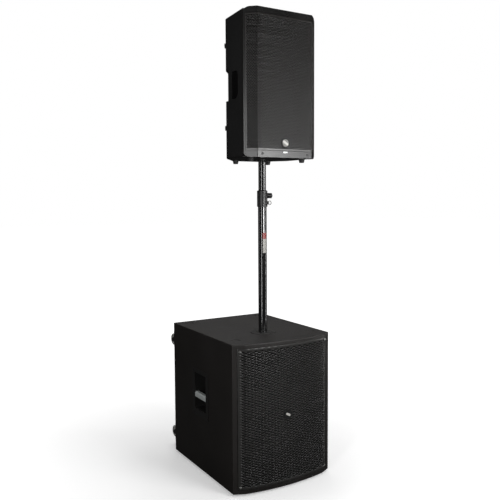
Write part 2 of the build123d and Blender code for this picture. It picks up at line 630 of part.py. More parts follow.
def pole_tubes():
    """The fixed lower tube, the sliding upper tube and the upper tube's end plug."""
    seam_z = COLLAR_TOP_Z - 10
    clamp_hole = rod((0, POLE_Y, CLAMP_Z), (1, 0, 0), CLAMP_BOLT_RADIUS + MOVING_GAP, 40)
    pin_hole = rod((0, POLE_Y, LOCK_PIN_Z), (1, 0, 0), LOCK_PIN_RADIUS + RUNNING_GAP, 40)
    lower = tube((0, POLE_Y, FLANGE_TOP_Z), (0, 0, 1), LOWER_TUBE_RADIUS, LOWER_TUBE_RADIUS - TUBE_WALL,
                 seam_z - FLANGE_TOP_Z)
    PARTS["pole_lower_tube"] = cut(lower, [clamp_hole, pin_hole])
    upper = tube((0, POLE_Y, UPPER_TUBE_BASE_Z), (0, 0, 1), UPPER_TUBE_RADIUS,
                 UPPER_TUBE_RADIUS - TUBE_WALL, UPPER_TUBE_TOP_Z - UPPER_TUBE_BASE_Z)
    PARTS["pole_upper_tube"] = upper - rod((0, POLE_Y, UPPER_PIN_HOLE_Z), (0, -1, 0), 3.5, 40)
    plug = rod((0, POLE_Y, UPPER_TUBE_TOP_Z - 24), (0, 0, 1), UPPER_TUBE_RADIUS - TUBE_WALL, 24)
    PARTS["pole_end_plug"] = plug + rod((0, POLE_Y, UPPER_TUBE_TOP_Z), (0, 0, 1), UPPER_TUBE_RADIUS - 0.5, 3)


def pole_collar():
    """The collar at the joint of the tubes, with a clamp knob and a sprung lock pin."""
    gap = LOWER_TUBE_RADIUS + FIT_GAP
    lip = UPPER_TUBE_RADIUS + RUNNING_GAP
    seam = COLLAR_TOP_Z - 10 - COLLAR_BASE_Z
    top = COLLAR_TOP_Z - COLLAR_BASE_Z
    body = turned(
        [(gap, 0), (COLLAR_RADIUS - 1.5, 0), (COLLAR_RADIUS, 1.5), (COLLAR_RADIUS, top - 3),
         (COLLAR_RADIUS - 3, top), (lip, top), (lip, seam), (gap, seam)],
        (0, POLE_Y, COLLAR_BASE_Z), (0, 0, 1))
    bosses = rod((21, POLE_Y, CLAMP_Z), (1, 0, 0), 9, 10) + rod((21, POLE_Y, LOCK_PIN_Z), (1, 0, 0), 8, 9)
    bosses = bosses - rod((0, POLE_Y, COLLAR_BASE_Z), (0, 0, 1), gap, seam)
    clamp_hole = rod((0, POLE_Y, CLAMP_Z), (1, 0, 0), CLAMP_BOLT_RADIUS + RUNNING_GAP, 60)
    pin_hole = rod((0, POLE_Y, LOCK_PIN_Z), (1, 0, 0), LOCK_PIN_RADIUS + RUNNING_GAP, 60)
    PARTS["pole_collar"] = cut(body + bosses, [clamp_hole, pin_hole])

    tip = UPPER_TUBE_RADIUS + MOVING_GAP
    bolt = rod((tip, POLE_Y, CLAMP_Z), (1, 0, 0), CLAMP_BOLT_RADIUS, 22)
    grip = rod((31 + MOVING_GAP, POLE_Y, CLAMP_Z), (1, 0, 0), 12.5, 17)
    knob_place = Pos(30, POLE_Y, CLAMP_Z) * Rot(0, 90, 0)
    grip = cut(grip, [knob_place * place * Cylinder(3.5, 60) for place in PolarLocations(14.5, 6)])
    PARTS["pole_clamp_knob"] = grip + bolt

    pin = rod((tip, POLE_Y, LOCK_PIN_Z), (1, 0, 0), LOCK_PIN_RADIUS, 18)
    head = rod((30 + MOVING_GAP, POLE_Y, LOCK_PIN_Z), (1, 0, 0), 5, 4)
    ring = Pos(40.5, POLE_Y, LOCK_PIN_Z) * Rot(90, 0, 0) * Torus(8.5, 1.6)
    PARTS["pole_lock_pin"] = pin + head + ring


# ---- Top speaker cabinet --------------------------------------------------------------------
def top_outline(inset, front_y):
    """The cabinet's plan outline behind front_y, moved in by inset all round."""
    points = [
        (TOP_FLAT_HALF, TOP_FRONT_Y), (TOP_MAX_HALF, TOP_MAX_Y), (TOP_SIDE_HALF, TOP_SIDE_Y),
        (TOP_REAR_HALF, TOP_REAR_Y),
    ]
    points = points + [(-x, y) for x, y in reversed(points)]
    face = make_face(Polyline(*points, close=True))
    if inset:
        face = offset(face, amount=-inset, kind=Kind.INTERSECTION)
    return face & (Pos(0, front_y + 250, 0) * Rectangle(500, 500))


def upright(face, z_low, z_high):
    """A plan face raised into a solid between two heights."""
    return extrude(Pos(0, 0, z_low) * face, amount=z_high - z_low, dir=(0, 0, 1))


def front_window(half_width, z_low, z_high, radius, y_span):
    """A rounded rectangle seen from the front, cut or kept through y_span."""
    face = Plane(origin=(0, y_span[0], (z_low + z_high) / 2), x_dir=(1, 0, 0), z_dir=(0, 1, 0)) * (
        RectangleRounded(2 * half_width, z_high - z_low, radius))
    return extrude(face, amount=y_span[1] - y_span[0], dir=(0, 1, 0))


def grip_notch():
    """The hollow behind the side grip, which runs out on the +X wedge face."""
    front_x, front_y = NOTCH_FRONT
    rear_x, rear_y = NOTCH_REAR
    return prism([(front_x, front_y), (front_x + 6, front_y - 6), (230, front_y - 8), (230, rear_y),
                  (rear_x, rear_y)], *NOTCH_Z)


def finger_pocket():
    """The finger recess in front of the side grip, on the +X side, rounder at its front."""
    pocket = block((POCKET_X, 230), POCKET_Y, POCKET_Z)
    pocket = fillet(pocket.edges().filter_by(Axis.X).group_by(Axis.Y)[0], 26)
    return fillet(pocket.edges().filter_by(Axis.X).group_by(Axis.Y)[-1], 6)


def grip_lining():
    """The block of wall round the pocket and the notch, before they are cut out of it."""
    inner = POCKET_X - GRIP_WALL
    front_y = POCKET_Y[0] - GRIP_WALL
    rear_x, rear_y = NOTCH_REAR
    return prism([(inner, front_y), (230, front_y), (230, rear_y + 9), (rear_x - 7, rear_y + 9),
                  (rear_x - 4, rear_y - 5), (inner + 3, NOTCH_FRONT[1] + 47), (inner, NOTCH_FRONT[1] + 40)],
                 NOTCH_Z[0] - GRIP_WALL, NOTCH_Z[1] + GRIP_WALL)


def rear_shell():
    """The moulded rear shell with its two side grips."""
    low = TOP_BASE_Z + SHELL_INSET
    high = TOP_TOP_Z - SHELL_INSET
    outer = upright(top_outline(SHELL_INSET, PARTING_Y), low, high)
    upright_edges = [edge for edge in outer.edges().filter_by(Axis.Z) if edge.center().Y > PARTING_Y + 5]
    outer = fillet(upright_edges, 9)
    rims = [edge for edge in outer.edges() if abs(edge.center().Z - low) < 0.1 or
            abs(edge.center().Z - high) < 0.1]
    rims = [edge for edge in rims if edge.center().Y > PARTING_Y + 1]
    outer = fillet(rims, 6)
    hollow = upright(top_outline(SHELL_INSET + SHELL_WALL, PARTING_Y), low + SHELL_WALL, high - SHELL_WALL)
    shell = outer - cut(hollow, both_sides(grip_lining()))
    tunnel = rod((0, POLE_Y, low - 5), (0, 0, 1), 22 + HOLE_GAP, 20)
    half = TOP_AMP_HALF_X - 12
    window = block((-half, half), (TOP_REAR_Y - 20, TOP_REAR_Y + 5), (TOP_AMP_Z[0] + 12, TOP_AMP_Z[1] - 12))
    holes = [rod((x, RIG_Y, high - 20), (0, 0, 1), 10 + HOLE_GAP, 30) for x in RIG_X]
    holes = holes + screw_holes(top_amp_screw_points(), (0, 1, 0), 2, 20)
    return cut(shell, both_sides(finger_pocket()) + both_sides(grip_notch()) + [tunnel, window] + holes)


def top_frame_screw_points():
    """Two screws above and two below the grille."""
    return [(x, TOP_FRONT_Y, z) for x in (-117.5, 117.5) for z in (1483.0, 2078.0)]


def top_cabinet():
    """Rear shell and front frame; the frame carries the baffle behind the grille."""
    PARTS["top_rear_shell"] = rear_shell()
    deep = (TOP_FRONT_Y, PARTING_Y)
    plan = top_outline(0, -400)
    creases = [corner for corner in plan.vertices() if corner.Y < TOP_MAX_Y + 1]
    frame = upright(fillet(creases, FRAME_EDGE), TOP_BASE_Z, TOP_TOP_Z)
    frame = frame & front_window(TOP_MAX_HALF, TOP_BASE_Z, TOP_TOP_Z, FRAME_CORNER, (-400, PARTING_Y))
    low = TOP_BASE_Z + FRAME_WALL
    high = TOP_TOP_Z - FRAME_WALL
    half = TOP_MAX_HALF - FRAME_WALL
    inner = upright(top_outline(FRAME_WALL, -400), low, high)
    frame = frame - (inner & front_window(half, low, high, FRAME_CORNER - 6, deep))
    frame = frame - front_window(WINDOW_HALF, WINDOW_BASE_Z, WINDOW_TOP_Z, 4, (-400, TOP_BAFFLE_Y))
    back_y = TOP_BAFFLE_Y + TOP_BAFFLE_THICK
    frame = frame + front_window(half + 1, low - 1, high + 1, FRAME_CORNER - 6, (TOP_BAFFLE_Y, back_y))
    cuts = [rod((0, -330, TOP_WOOFER_Z), (0, 1, 0), TOP_WOOFER_HOLE, 30)]
    cuts.append(front_window(HORN_HALF_X, HORN_Z - HORN_HALF_Z, HORN_Z + HORN_HALF_Z, 10, (-330, -300)))
    for x, z in TOP_PORTS:
        frame = frame + rod((x, TOP_BAFFLE_Y, z), (0, 1, 0), TOP_PORT_RADIUS, TOP_PORT_LENGTH)
        cuts.append(rod((x, TOP_BAFFLE_Y - 1, z), (0, 1, 0), TOP_PORT_BORE, TOP_PORT_LENGTH + 2))
    seats = top_frame_screw_points()
    cuts.extend(rod((x, TOP_FRONT_Y - 1, z), (0, 1, 0), 6, 2) for x, y, z in seats)
    cuts.extend(rod((x, TOP_FRONT_Y, z), (0, 1, 0), 2.5 + HOLE_GAP, 12) for x, y, z in seats)
    half_x = LIGHT_HALF_X + HOLE_GAP
    cuts.append(block((-half_x, half_x), (-360, -345), (LIGHT_Z[0] - HOLE_GAP, LIGHT_Z[1] + HOLE_GAP)))
    PARTS["top_front_frame"] = cut(frame, cuts)
    light_y = TOP_FRONT_Y - 0.4
    PARTS["top_power_light"] = block((-LIGHT_HALF_X, LIGHT_HALF_X), (light_y, light_y + 5.4), LIGHT_Z)


def top_sheet(outer_inset, inner_inset, half_width, z_low, z_high):
    """A folded sheet behind the cabinet's front outline, between two insets."""
    shape = upright(top_outline(outer_inset, -400), z_low, z_high)
    shape = shape - upright(top_outline(inner_inset, -400), z_low, z_high)
    return shape & front_window(half_width, z_low, z_high, 3.5, (-400, TOP_BAFFLE_Y - 0.5))


def top_grille():
    """The folded grille sheet, the foam behind it and the round badge on it."""
    back = TOP_GRILLE_INSET + TOP_GRILLE_SHEET
    sheet = top_sheet(TOP_GRILLE_INSET, back, WINDOW_HALF - 0.5, WINDOW_BASE_Z + 0.5, WINDOW_TOP_Z - 0.5)
    badge_seat = (0, TOP_FRONT_Y + 1.2, TOP_BADGE_Z)
    PARTS["top_grille"] = sheet - rod(badge_seat, (0, -1, 0), TOP_BADGE_RADIUS, 6)
    PARTS["top_grille_foam"] = top_sheet(back, 6, WINDOW_HALF - 4, WINDOW_BASE_Z + 2, WINDOW_TOP_Z - 2)
    badge = rod(badge_seat, (0, -1, 0), TOP_BADGE_RADIUS, 3.2)
    PARTS["top_badge"] = fillet(badge.edges().filter_by(GeomType.CIRCLE).sort_by(Axis.Y)[0], 1)


def top_inside():
    """High-frequency horn, its compression driver, the pole socket and the rigging inserts."""
    flare = loft([
        Pos(0, TOP_BAFFLE_Y - 2, HORN_Z) * Rot(90, 0, 0) * RectangleRounded(250, 150, 8),
        Pos(0, TOP_BAFFLE_Y + 75, HORN_Z) * Rot(90, 0, 0) * RectangleRounded(40, 40, 8),
    ])
    cavity = loft([
        Pos(0, TOP_BAFFLE_Y - 6, HORN_Z) * Rot(90, 0, 0) * RectangleRounded(252, 152, 8),
        Pos(0, TOP_BAFFLE_Y + 76, HORN_Z) * Rot(90, 0, 0) * RectangleRounded(26, 26, 8),
    ])
    flange = front_window(140, HORN_Z - 90, HORN_Z + 90, 12, (TOP_BAFFLE_Y - 4, TOP_BAFFLE_Y))
    PARTS["top_horn"] = (flare + flange) - cavity
    PARTS["top_compression_driver"] = rod((0, TOP_BAFFLE_Y + 75, HORN_Z), (0, 1, 0), 60, 58)
    loudspeaker("top", (0, TOP_BAFFLE_Y, TOP_WOOFER_Z), TOP_WOOFER_FLANGE, TOP_WOOFER_DEPTH,
                TOP_MAGNET_RADIUS, TOP_WOOFER_HOLE)

    bore = UPPER_TUBE_RADIUS + RUNNING_GAP
    PARTS["top_pole_socket"] = turned(
        [(bore, 0), (22, 0), (22, 5), (45, 5), (45, 9), (25, 9), (23, 92), (0, 92), (0, 88), (bore, 88)],
        (0, POLE_Y, TOP_BASE_Z + SHELL_INSET), (0, 0, 1))
    roof_z = TOP_TOP_Z - SHELL_INSET
    inserts = []
    for x in RIG_X:
        profile = [(5, 0), (10, 0), (10, -5), (16, -5), (16, -9), (10, -9), (10, -24), (0, -24), (0, -20),
                   (5, -20)]
        inserts.append(turned(profile, (x, RIG_Y, roof_z), (0, 0, 1)))
    PARTS["top_rigging_inserts"] = group(inserts)


def top_feet():
    """Four tapered feet under the cabinet and four low feet on one rear wedge face."""
    shapes = []
    for x, y in ((-135, -288), (135, -288), (-88, -76), (88, -76)):
        bottom = TOP_BASE_Z + SHELL_INSET
        shapes.append(Pos(x, y, bottom - 8.5) * Cone(10.5, 14.5, 17))
    run = Vector(TOP_SIDE_HALF - TOP_REAR_HALF, TOP_SIDE_Y - TOP_REAR_Y, 0)
    outward = Vector(run.Y, run.X, 0).normalized()
    for share in (0.12, 0.86):
        for z in (1610.0, 1974.0):
            wedge = Vector(-TOP_REAR_HALF - run.X * share, TOP_REAR_Y + run.Y * share, z)
            shapes.append(rod(wedge - outward * SHELL_INSET, outward, 11, 7))
    PARTS["top_feet"] = group(shapes)


def top_amp_screw_points():
    """Screws round the edge of the top speaker's amplifier plate."""
    rows = (TOP_AMP_Z[0] + 6, sum(TOP_AMP_Z) / 2, TOP_AMP_Z[1] - 6)
    reach = TOP_AMP_HALF_X - 6
    return [(x, TOP_REAR_Y - SHELL_INSET + TOP_AMP_THICK, z) for x in (-reach, reach) for z in rows]


def top_amplifier():
    """Rear amplifier of the top speaker: plate, heatsink, sockets, two knobs and a switch."""
    back = TOP_REAR_Y - SHELL_INSET
    face = back + TOP_AMP_THICK
    plate = block((-TOP_AMP_HALF_X, TOP_AMP_HALF_X), (back, face), TOP_AMP_Z)
    plate = fillet(plate.edges().filter_by(Axis.Y), 5)
    cuts = panel_cuts(face, TOP_SOCKETS_AT, TOP_KNOBS_AT, TOP_INLET_AT, TOP_ROCKER_AT)
    PARTS["top_amp_plate"] = cut(plate, cuts + screw_holes(top_amp_screw_points(), (0, 1, 0), 2, 20))
    inlet_x, inlet_z = TOP_INLET_AT
    rocker_x, rocker_z = TOP_ROCKER_AT
    sockets = [socket_body(x, face, z) for x, z in TOP_SOCKETS_AT]
    sockets.append(mains_inlet(inlet_x, face, inlet_z))
    sockets.append(rocker_bezel(rocker_x, face, rocker_z))
    PARTS["top_sockets"] = group(sockets)
    PARTS["top_power_switch"] = rocker(rocker_x, face, rocker_z)
    for number, (x, z) in enumerate(TOP_KNOBS_AT, start=1):
        PARTS["top_level_knob_%d" % number] = knob(x, face, z, 8, 12)
    PARTS["top_heatsink"] = fins(TOP_SINK_X, (face, face + 18), TOP_SINK_Z, 10)


def fixing_screws():
    """The screws that hold the fittings on, in one node for each cabinet."""
    heads = screws(handle_screw_points(), (1, 0, 0), 4.5, 2.2, 2.5, 15)
    heads = [half for head in heads for half in both_sides(head)]
    heads = heads + screws(castor_screw_points(), (0, 1, 0), 5, 2.5, 2.5, 20)
    heads = heads + screws(sub_amp_screw_points(), (0, 1, 0), 4, 2, 2, 14)
    heads = heads + screws(flange_screw_points(), (0, 0, 1), 4.5, 1.6, 2.5, 16)
    PARTS["sub_fixing_screws"] = group(heads)
    seats = [(x, y + 1, z) for x, y, z in top_frame_screw_points()]
    heads = screws(seats, (0, -1, 0), 5.2, 2, 2.5, 5)
    heads = heads + screws(top_amp_screw_points(), (0, 1, 0), 3.6, 1.8, 2, 10)
    PARTS["top_fixing_screws"] = group(heads)


def main():
    sub_panels()
    sub_ports()
    sub_front()
    loudspeaker("sub", (0, BAFFLE_FRONT_Y, SUB_AXIS_Z), SUB_WOOFER_FLANGE, SUB_WOOFER_DEPTH,
                SUB_MAGNET_RADIUS, SUB_WOOFER_HOLE)
    sub_handles()
    sub_feet()
    castors()
    sub_amplifier()
    pole_base()
    pole_tubes()
    pole_collar()
    top_cabinet()
    top_grille()
    top_inside()
    top_feet()
    top_amplifier()
    fixing_screws()
    os.makedirs("parts", exist_ok=True)
    for name, shape in PARTS.items():
        export_step(shape, "parts/%s.step" % name)
    print(len(PARTS), "parts written")


main()
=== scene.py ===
# %% [markdown]
# # A PA speaker stack
# A bow-fronted subwoofer box stands on the floor, a telescopic pole screws into its top, and a
# moulded two-way speaker sits on the pole. The CAD frame holds every size and every joint, so
# each piece made here takes its place from a CAD node's box and rides on that node's body. The
# CAD sheets that stand for grilles are plain, so this script makes the perforated ones, and gives
# each surface its finish.

# %% Load the frame and keep the CAD box
import json
import math

import bpy
import numpy as np
from mathutils import Matrix, Vector


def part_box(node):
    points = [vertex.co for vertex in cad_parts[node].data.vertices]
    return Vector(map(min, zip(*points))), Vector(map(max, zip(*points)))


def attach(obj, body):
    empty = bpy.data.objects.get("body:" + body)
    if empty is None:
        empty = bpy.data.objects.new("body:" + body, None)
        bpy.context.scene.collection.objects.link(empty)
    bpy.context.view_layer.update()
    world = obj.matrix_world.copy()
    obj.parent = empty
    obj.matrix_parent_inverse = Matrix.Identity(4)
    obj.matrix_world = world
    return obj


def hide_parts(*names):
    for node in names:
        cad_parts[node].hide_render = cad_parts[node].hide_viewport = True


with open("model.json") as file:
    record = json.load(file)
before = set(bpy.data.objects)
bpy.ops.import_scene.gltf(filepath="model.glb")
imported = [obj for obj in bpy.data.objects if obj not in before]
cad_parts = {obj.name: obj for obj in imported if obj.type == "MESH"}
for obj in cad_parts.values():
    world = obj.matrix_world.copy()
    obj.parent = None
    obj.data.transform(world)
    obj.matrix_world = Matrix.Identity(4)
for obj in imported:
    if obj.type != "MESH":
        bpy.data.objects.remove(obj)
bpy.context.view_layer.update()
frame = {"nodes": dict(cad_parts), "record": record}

node_slot = {part["node"]: part["material_slot"] for part in frame["record"]["subparts"]}


def middle(node):
    """The centre of a CAD node's box."""
    low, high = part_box(node)
    return (low + high) / 2


# %% [markdown]
# ## Camera
# A camera can be aimed by a tracking constraint or by its own axes. Here the axes are worked out
# from three angles, because a slight roll belongs to this view: the camera looks down a little,
# from the front and to the left of the stack, from about chest height.

# %% Camera
CAMERA_AZIMUTH = math.radians(-31.05)
CAMERA_PITCH = math.radians(4.49)
CAMERA_ROLL = math.radians(-0.34)
CAMERA_PLACE = Vector((-1.566, -2.655, 1.286))
CAMERA_LENS = 45.77
CAMERA_SENSOR = 36


def add_camera():
    """Camera axes: forward from azimuth and pitch, then right and up turned by the roll."""
    forward = Vector((-math.sin(CAMERA_AZIMUTH) * math.cos(CAMERA_PITCH),
                      math.cos(CAMERA_AZIMUTH) * math.cos(CAMERA_PITCH), -math.sin(CAMERA_PITCH)))
    level = Vector((math.cos(CAMERA_AZIMUTH), math.sin(CAMERA_AZIMUTH), 0))
    upright = level.cross(forward)
    side = math.cos(CAMERA_ROLL) * level + math.sin(CAMERA_ROLL) * upright
    top = -math.sin(CAMERA_ROLL) * level + math.cos(CAMERA_ROLL) * upright
    data = bpy.data.cameras.new("camera")
    data.lens = CAMERA_LENS
    data.sensor_width = CAMERA_SENSOR
    camera = bpy.data.objects.new("camera", data)
    bpy.context.scene.collection.objects.link(camera)
    axes = Matrix((side, top, -forward)).transposed().to_4x4()
    camera.matrix_world = Matrix.Translation(CAMERA_PLACE) @ axes
    bpy.context.scene.camera = camera
    print("camera", [round(value, 3) for value in camera.matrix_world.translation])


add_camera()

# %% [markdown]
# ## Node graphs in a few words
# Every material below is a short graph. These helpers add a node, set its unlinked sockets by
# name and join sockets, so a finish reads as a list of what feeds what.


# %% Shader graph helpers
MIX_FIRST, MIX_SECOND, MIX_RESULT = 6, 7, 2


class Graph:
    """A node tree with short calls to add and join nodes."""

    def __init__(self, tree):
        self.tree = tree

    def add(self, kind, settings=None, **sockets):
        """Adds a node, sets properties from settings, and sets or joins sockets given by name."""
        node = self.tree.nodes.new(kind)
        for name, value in (settings or {}).items():
            setattr(node, name, value)
        for name, value in sockets.items():
            self.put(node.inputs[name.replace("_", " ")], value)
        return node

    def put(self, socket, value):
        """Joins an output to this socket, or sets the socket's own value."""
        if isinstance(value, bpy.types.NodeSocket):
            self.tree.links.new(value, socket)
        else:
            socket.default_value = value

    def math(self, operation, first, second=0.0, clamp=False):
        """One Math node on two values."""
        node = self.add("ShaderNodeMath", {"operation": operation, "use_clamp": clamp})
        self.put(node.inputs[0], first)
        self.put(node.inputs[1], second)
        return node.outputs[0]

    def blend(self, share, first, second):
        """One Mix node on two colours. Its colour sockets come after its float and vector ones."""
        node = self.add("ShaderNodeMix", {"data_type": "RGBA", "clamp_factor": True})
        self.put(node.inputs[0], share)
        self.put(node.inputs[MIX_FIRST], first)
        self.put(node.inputs[MIX_SECOND], second)
        return node.outputs[MIX_RESULT]

    def remap(self, value, low, high, to_low=0.0, to_high=1.0):
        """Spreads low..high over to_low..to_high, clamped."""
        node = self.add("ShaderNodeMapRange", {"clamp": True}, Value=value)
        for socket, number in zip(node.inputs[1:5], (low, high, to_low, to_high)):
            socket.default_value = number
        return node.outputs[0]

    def place(self):
        """Object coordinates, in metres."""
        return self.add("ShaderNodeTexCoord").outputs["Object"]


def colour(red, green, blue):
    """A colour socket's value."""
    return (red, green, blue, 1.0)


# %% [markdown]
# ## Effects that many finishes share
# Real black finishes differ less in colour than in how they break up light. Three effects do most
# of it: a fine grain (spray texture or moulded leather grain), slow cloudy variation with a film
# of dust, and lighter edges, which are wear and, on the box's paint, also a painted highlight
# along the edges. Each is a node group that is built once, and every material places it with its
# own values. They could also be painted or baked, but a group follows the shape in any pose.


# %% Shared effect groups
def new_group(name, inputs, outputs):
    """An empty shader group with float sockets. The inputs come with their first values."""
    tree = bpy.data.node_groups.new(name, "ShaderNodeTree")
    for label, value in inputs.items():
        socket = tree.interface.new_socket(label, in_out="INPUT", socket_type="NodeSocketFloat")
        socket.default_value = value
    for label in outputs:
        tree.interface.new_socket(label, in_out="OUTPUT", socket_type="NodeSocketFloat")
    graph = Graph(tree)
    start = tree.nodes.new("NodeGroupInput")
    end = tree.nodes.new("NodeGroupOutput")
    return tree, graph, start.outputs, end.inputs


def make_grain_group():
    """Grain: rounded cells of a Voronoi field plus finer noise, as a height from 0 to 1."""
    tree, graph, given, out = new_group(
        "fine_grain", {"Scale": 900.0, "Cells": 0.6}, ["Height", "Mask"])
    place = graph.place()
    cells = graph.add("ShaderNodeTexVoronoi", {"feature": "SMOOTH_F1"}, Vector=place,
                      Scale=given["Scale"])
    twice = graph.math("MULTIPLY", given["Scale"], 2.3)
    noise = graph.add("ShaderNodeTexNoise", None, Vector=place, Scale=twice, Detail=2.0)
    rough = graph.math("MULTIPLY", noise.outputs[0], graph.math("SUBTRACT", 1.0, given["Cells"]))
    bumps = graph.math("MULTIPLY", cells.outputs["Distance"], given["Cells"])
    height = graph.math("ADD", rough, bumps)
    graph.put(out["Height"], height)
    graph.put(out["Mask"], graph.remap(height, 0.3, 0.7))
    return tree


def make_film_group():
    """Film: slow clouds, and dust that lies on faces that look up."""
    tree, graph, given, out = new_group(
        "dust_film", {"Scale": 4.0, "Dust": 0.3}, ["Clouds", "Dust"])
    place = graph.place()
    clouds = graph.add("ShaderNodeTexNoise", None, Vector=place, Scale=given["Scale"], Detail=4.0)
    specks = graph.add("ShaderNodeTexNoise", None, Vector=place, Scale=240.0, Detail=3.0)
    normal = graph.add("ShaderNodeNewGeometry").outputs["Normal"]
    facing = graph.add("ShaderNodeSeparateXYZ", None, Vector=normal)
    upward = graph.remap(facing.outputs["Z"], 0.2, 1.0)
    patch = graph.math("MULTIPLY", upward, graph.remap(clouds.outputs[0], 0.35, 0.7))
    speckle = graph.remap(specks.outputs[0], 0.45, 0.7)
    dust = graph.math("MULTIPLY", graph.math("MULTIPLY", patch, speckle), given["Dust"], clamp=True)
    graph.put(out["Clouds"], clouds.outputs[0])
    graph.put(out["Dust"], dust)
    return tree


def make_wear_and_highlight_group():
    """Edge wear and painted highlight: where a rounded normal leaves the true one, an edge is
    near, broken up by noise.
    """
    tree, graph, given, out = new_group("edge_wear_and_highlight", {"Radius": 0.002, "Amount": 0.6}, ["Mask"])
    bevel = graph.add("ShaderNodeBevel", {"samples": 4}, Radius=given["Radius"])
    true_normal = graph.add("ShaderNodeNewGeometry").outputs["Normal"]
    likeness = graph.add("ShaderNodeVectorMath", {"operation": "DOT_PRODUCT"})
    graph.put(likeness.inputs[0], bevel.outputs[0])
    graph.put(likeness.inputs[1], true_normal)
    edge = graph.remap(likeness.outputs["Value"], 0.99, 0.8)
    chips = graph.add("ShaderNodeTexNoise", None, Vector=graph.place(), Scale=130.0, Detail=5.0)
    broken = graph.remap(chips.outputs[0], 0.46, 0.6)
    worn = graph.math("MULTIPLY", edge, broken)
    graph.put(out["Mask"], graph.math("MULTIPLY", worn, given["Amount"], clamp=True))
    return tree


GRAIN = make_grain_group()
FILM = make_film_group()
WEAR_AND_HIGHLIGHT = make_wear_and_highlight_group()
print("shared effects", GRAIN.name, FILM.name, WEAR_AND_HIGHLIGHT.name)


# %% [markdown]
# ## One recipe for painted and moulded surfaces
# Paint on plywood, powder coat on steel and moulded plastic are the same graph with other
# numbers: a base colour that the clouds darken or lighten, dust on top, edges in a lighter tone
# for wear and, on the box's paint, for a painted highlight, grain as bump and a roughness that
# varies with both. Building them from one function keeps the whole set consistent, and values
# that never vary are set on the shader's own sockets.


# %% The surface recipe
CLOUD_SCALE = 5.0
GRAIN_TINT = 0.25
DUST_ROUGHNESS = 0.4
DUST_TONE = colour(0.16, 0.15, 0.135)


def surface(name, base, roughness, grain_scale=900.0, cells=0.6, bump=0.15, bump_depth=0.0004,
            dust=0.15, wear_and_highlight=0.0, wear_and_highlight_tone=None, wear_and_highlight_radius=0.0015, metallic=0.0, coat=0.0,
            coat_roughness=0.2, variation=0.18, specular=0.5):
    """A Principled material with grain bump, cloudy colour, dust, and lighter edges for wear and
    painted highlight. The colour goes from base times (1 - variation) to base times
    (1 + variation). Edges lighten to wear_and_highlight_tone, or else to a tone three times as
    light."""
    material = bpy.data.materials.new(name)
    material.use_nodes = True
    graph = Graph(material.node_tree)
    shader = material.node_tree.nodes["Principled BSDF"]
    grain = graph.add("ShaderNodeGroup", {"node_tree": GRAIN}, Scale=grain_scale, Cells=cells)
    film = graph.add("ShaderNodeGroup", {"node_tree": FILM}, Scale=CLOUD_SCALE, Dust=dust)
    dark = colour(*[channel * (1 - variation) for channel in base])
    light = colour(*[channel * (1 + variation) for channel in base])
    tone = graph.blend(graph.remap(film.outputs["Clouds"], 0.3, 0.7), dark, light)
    tone = graph.blend(graph.math("MULTIPLY", grain.outputs["Mask"], GRAIN_TINT), tone, light)
    tone = graph.blend(film.outputs["Dust"], tone, DUST_TONE)
    # Lighter edges: wear, and on the box's paint also a painted highlight along the edges.
    if wear_and_highlight:
        edge_lightening = graph.add("ShaderNodeGroup", {"node_tree": WEAR_AND_HIGHLIGHT}, Radius=wear_and_highlight_radius, Amount=wear_and_highlight)
        edge_tone = colour(*(wear_and_highlight_tone or [min(1.0, channel * 3 + 0.02) for channel in base]))
        tone = graph.blend(edge_lightening.outputs["Mask"], tone, edge_tone)
    graph.put(shader.inputs["Base Color"], tone)
    sheen = graph.remap(film.outputs["Clouds"], 0.25, 0.75, roughness - 0.05, roughness + 0.06)
    dulled = graph.math("MULTIPLY", film.outputs["Dust"], DUST_ROUGHNESS)
    graph.put(shader.inputs["Roughness"], graph.math("ADD", sheen, dulled))
    shader.inputs["Metallic"].default_value = metallic
    shader.inputs["Specular IOR Level"].default_value = specular
    shader.inputs["Coat Weight"].default_value = coat
    shader.inputs["Coat Roughness"].default_value = coat_roughness
    bumps = graph.add("ShaderNodeBump", None, Strength=bump, Distance=bump_depth,
                      Height=grain.outputs["Height"])
    graph.put(shader.inputs["Normal"], bumps.outputs[0])
    return material


# %% [markdown]
# ## The finishes
# The box has a sprayed texture paint, coarse enough to feel, that dulls to warm grey where light
# grazes it, and its edges are painted lighter: partly wear, partly a painted highlight along the
# edges. The grilles are powder-coated steel with more sheen. The top cabinet's shell is moulded
# with a leather grain, while its front frame is smoother and glossier and catches long
# reflections. The light pieces are few: castor wheels, bar grips, bright screws, the lens, badges
# and the label.


# %% Finishes by material slot
POWDER_GRAIN = dict(grain_scale=2200.0, cells=0.4, bump_depth=0.0002, dust=0.0, variation=0.05)


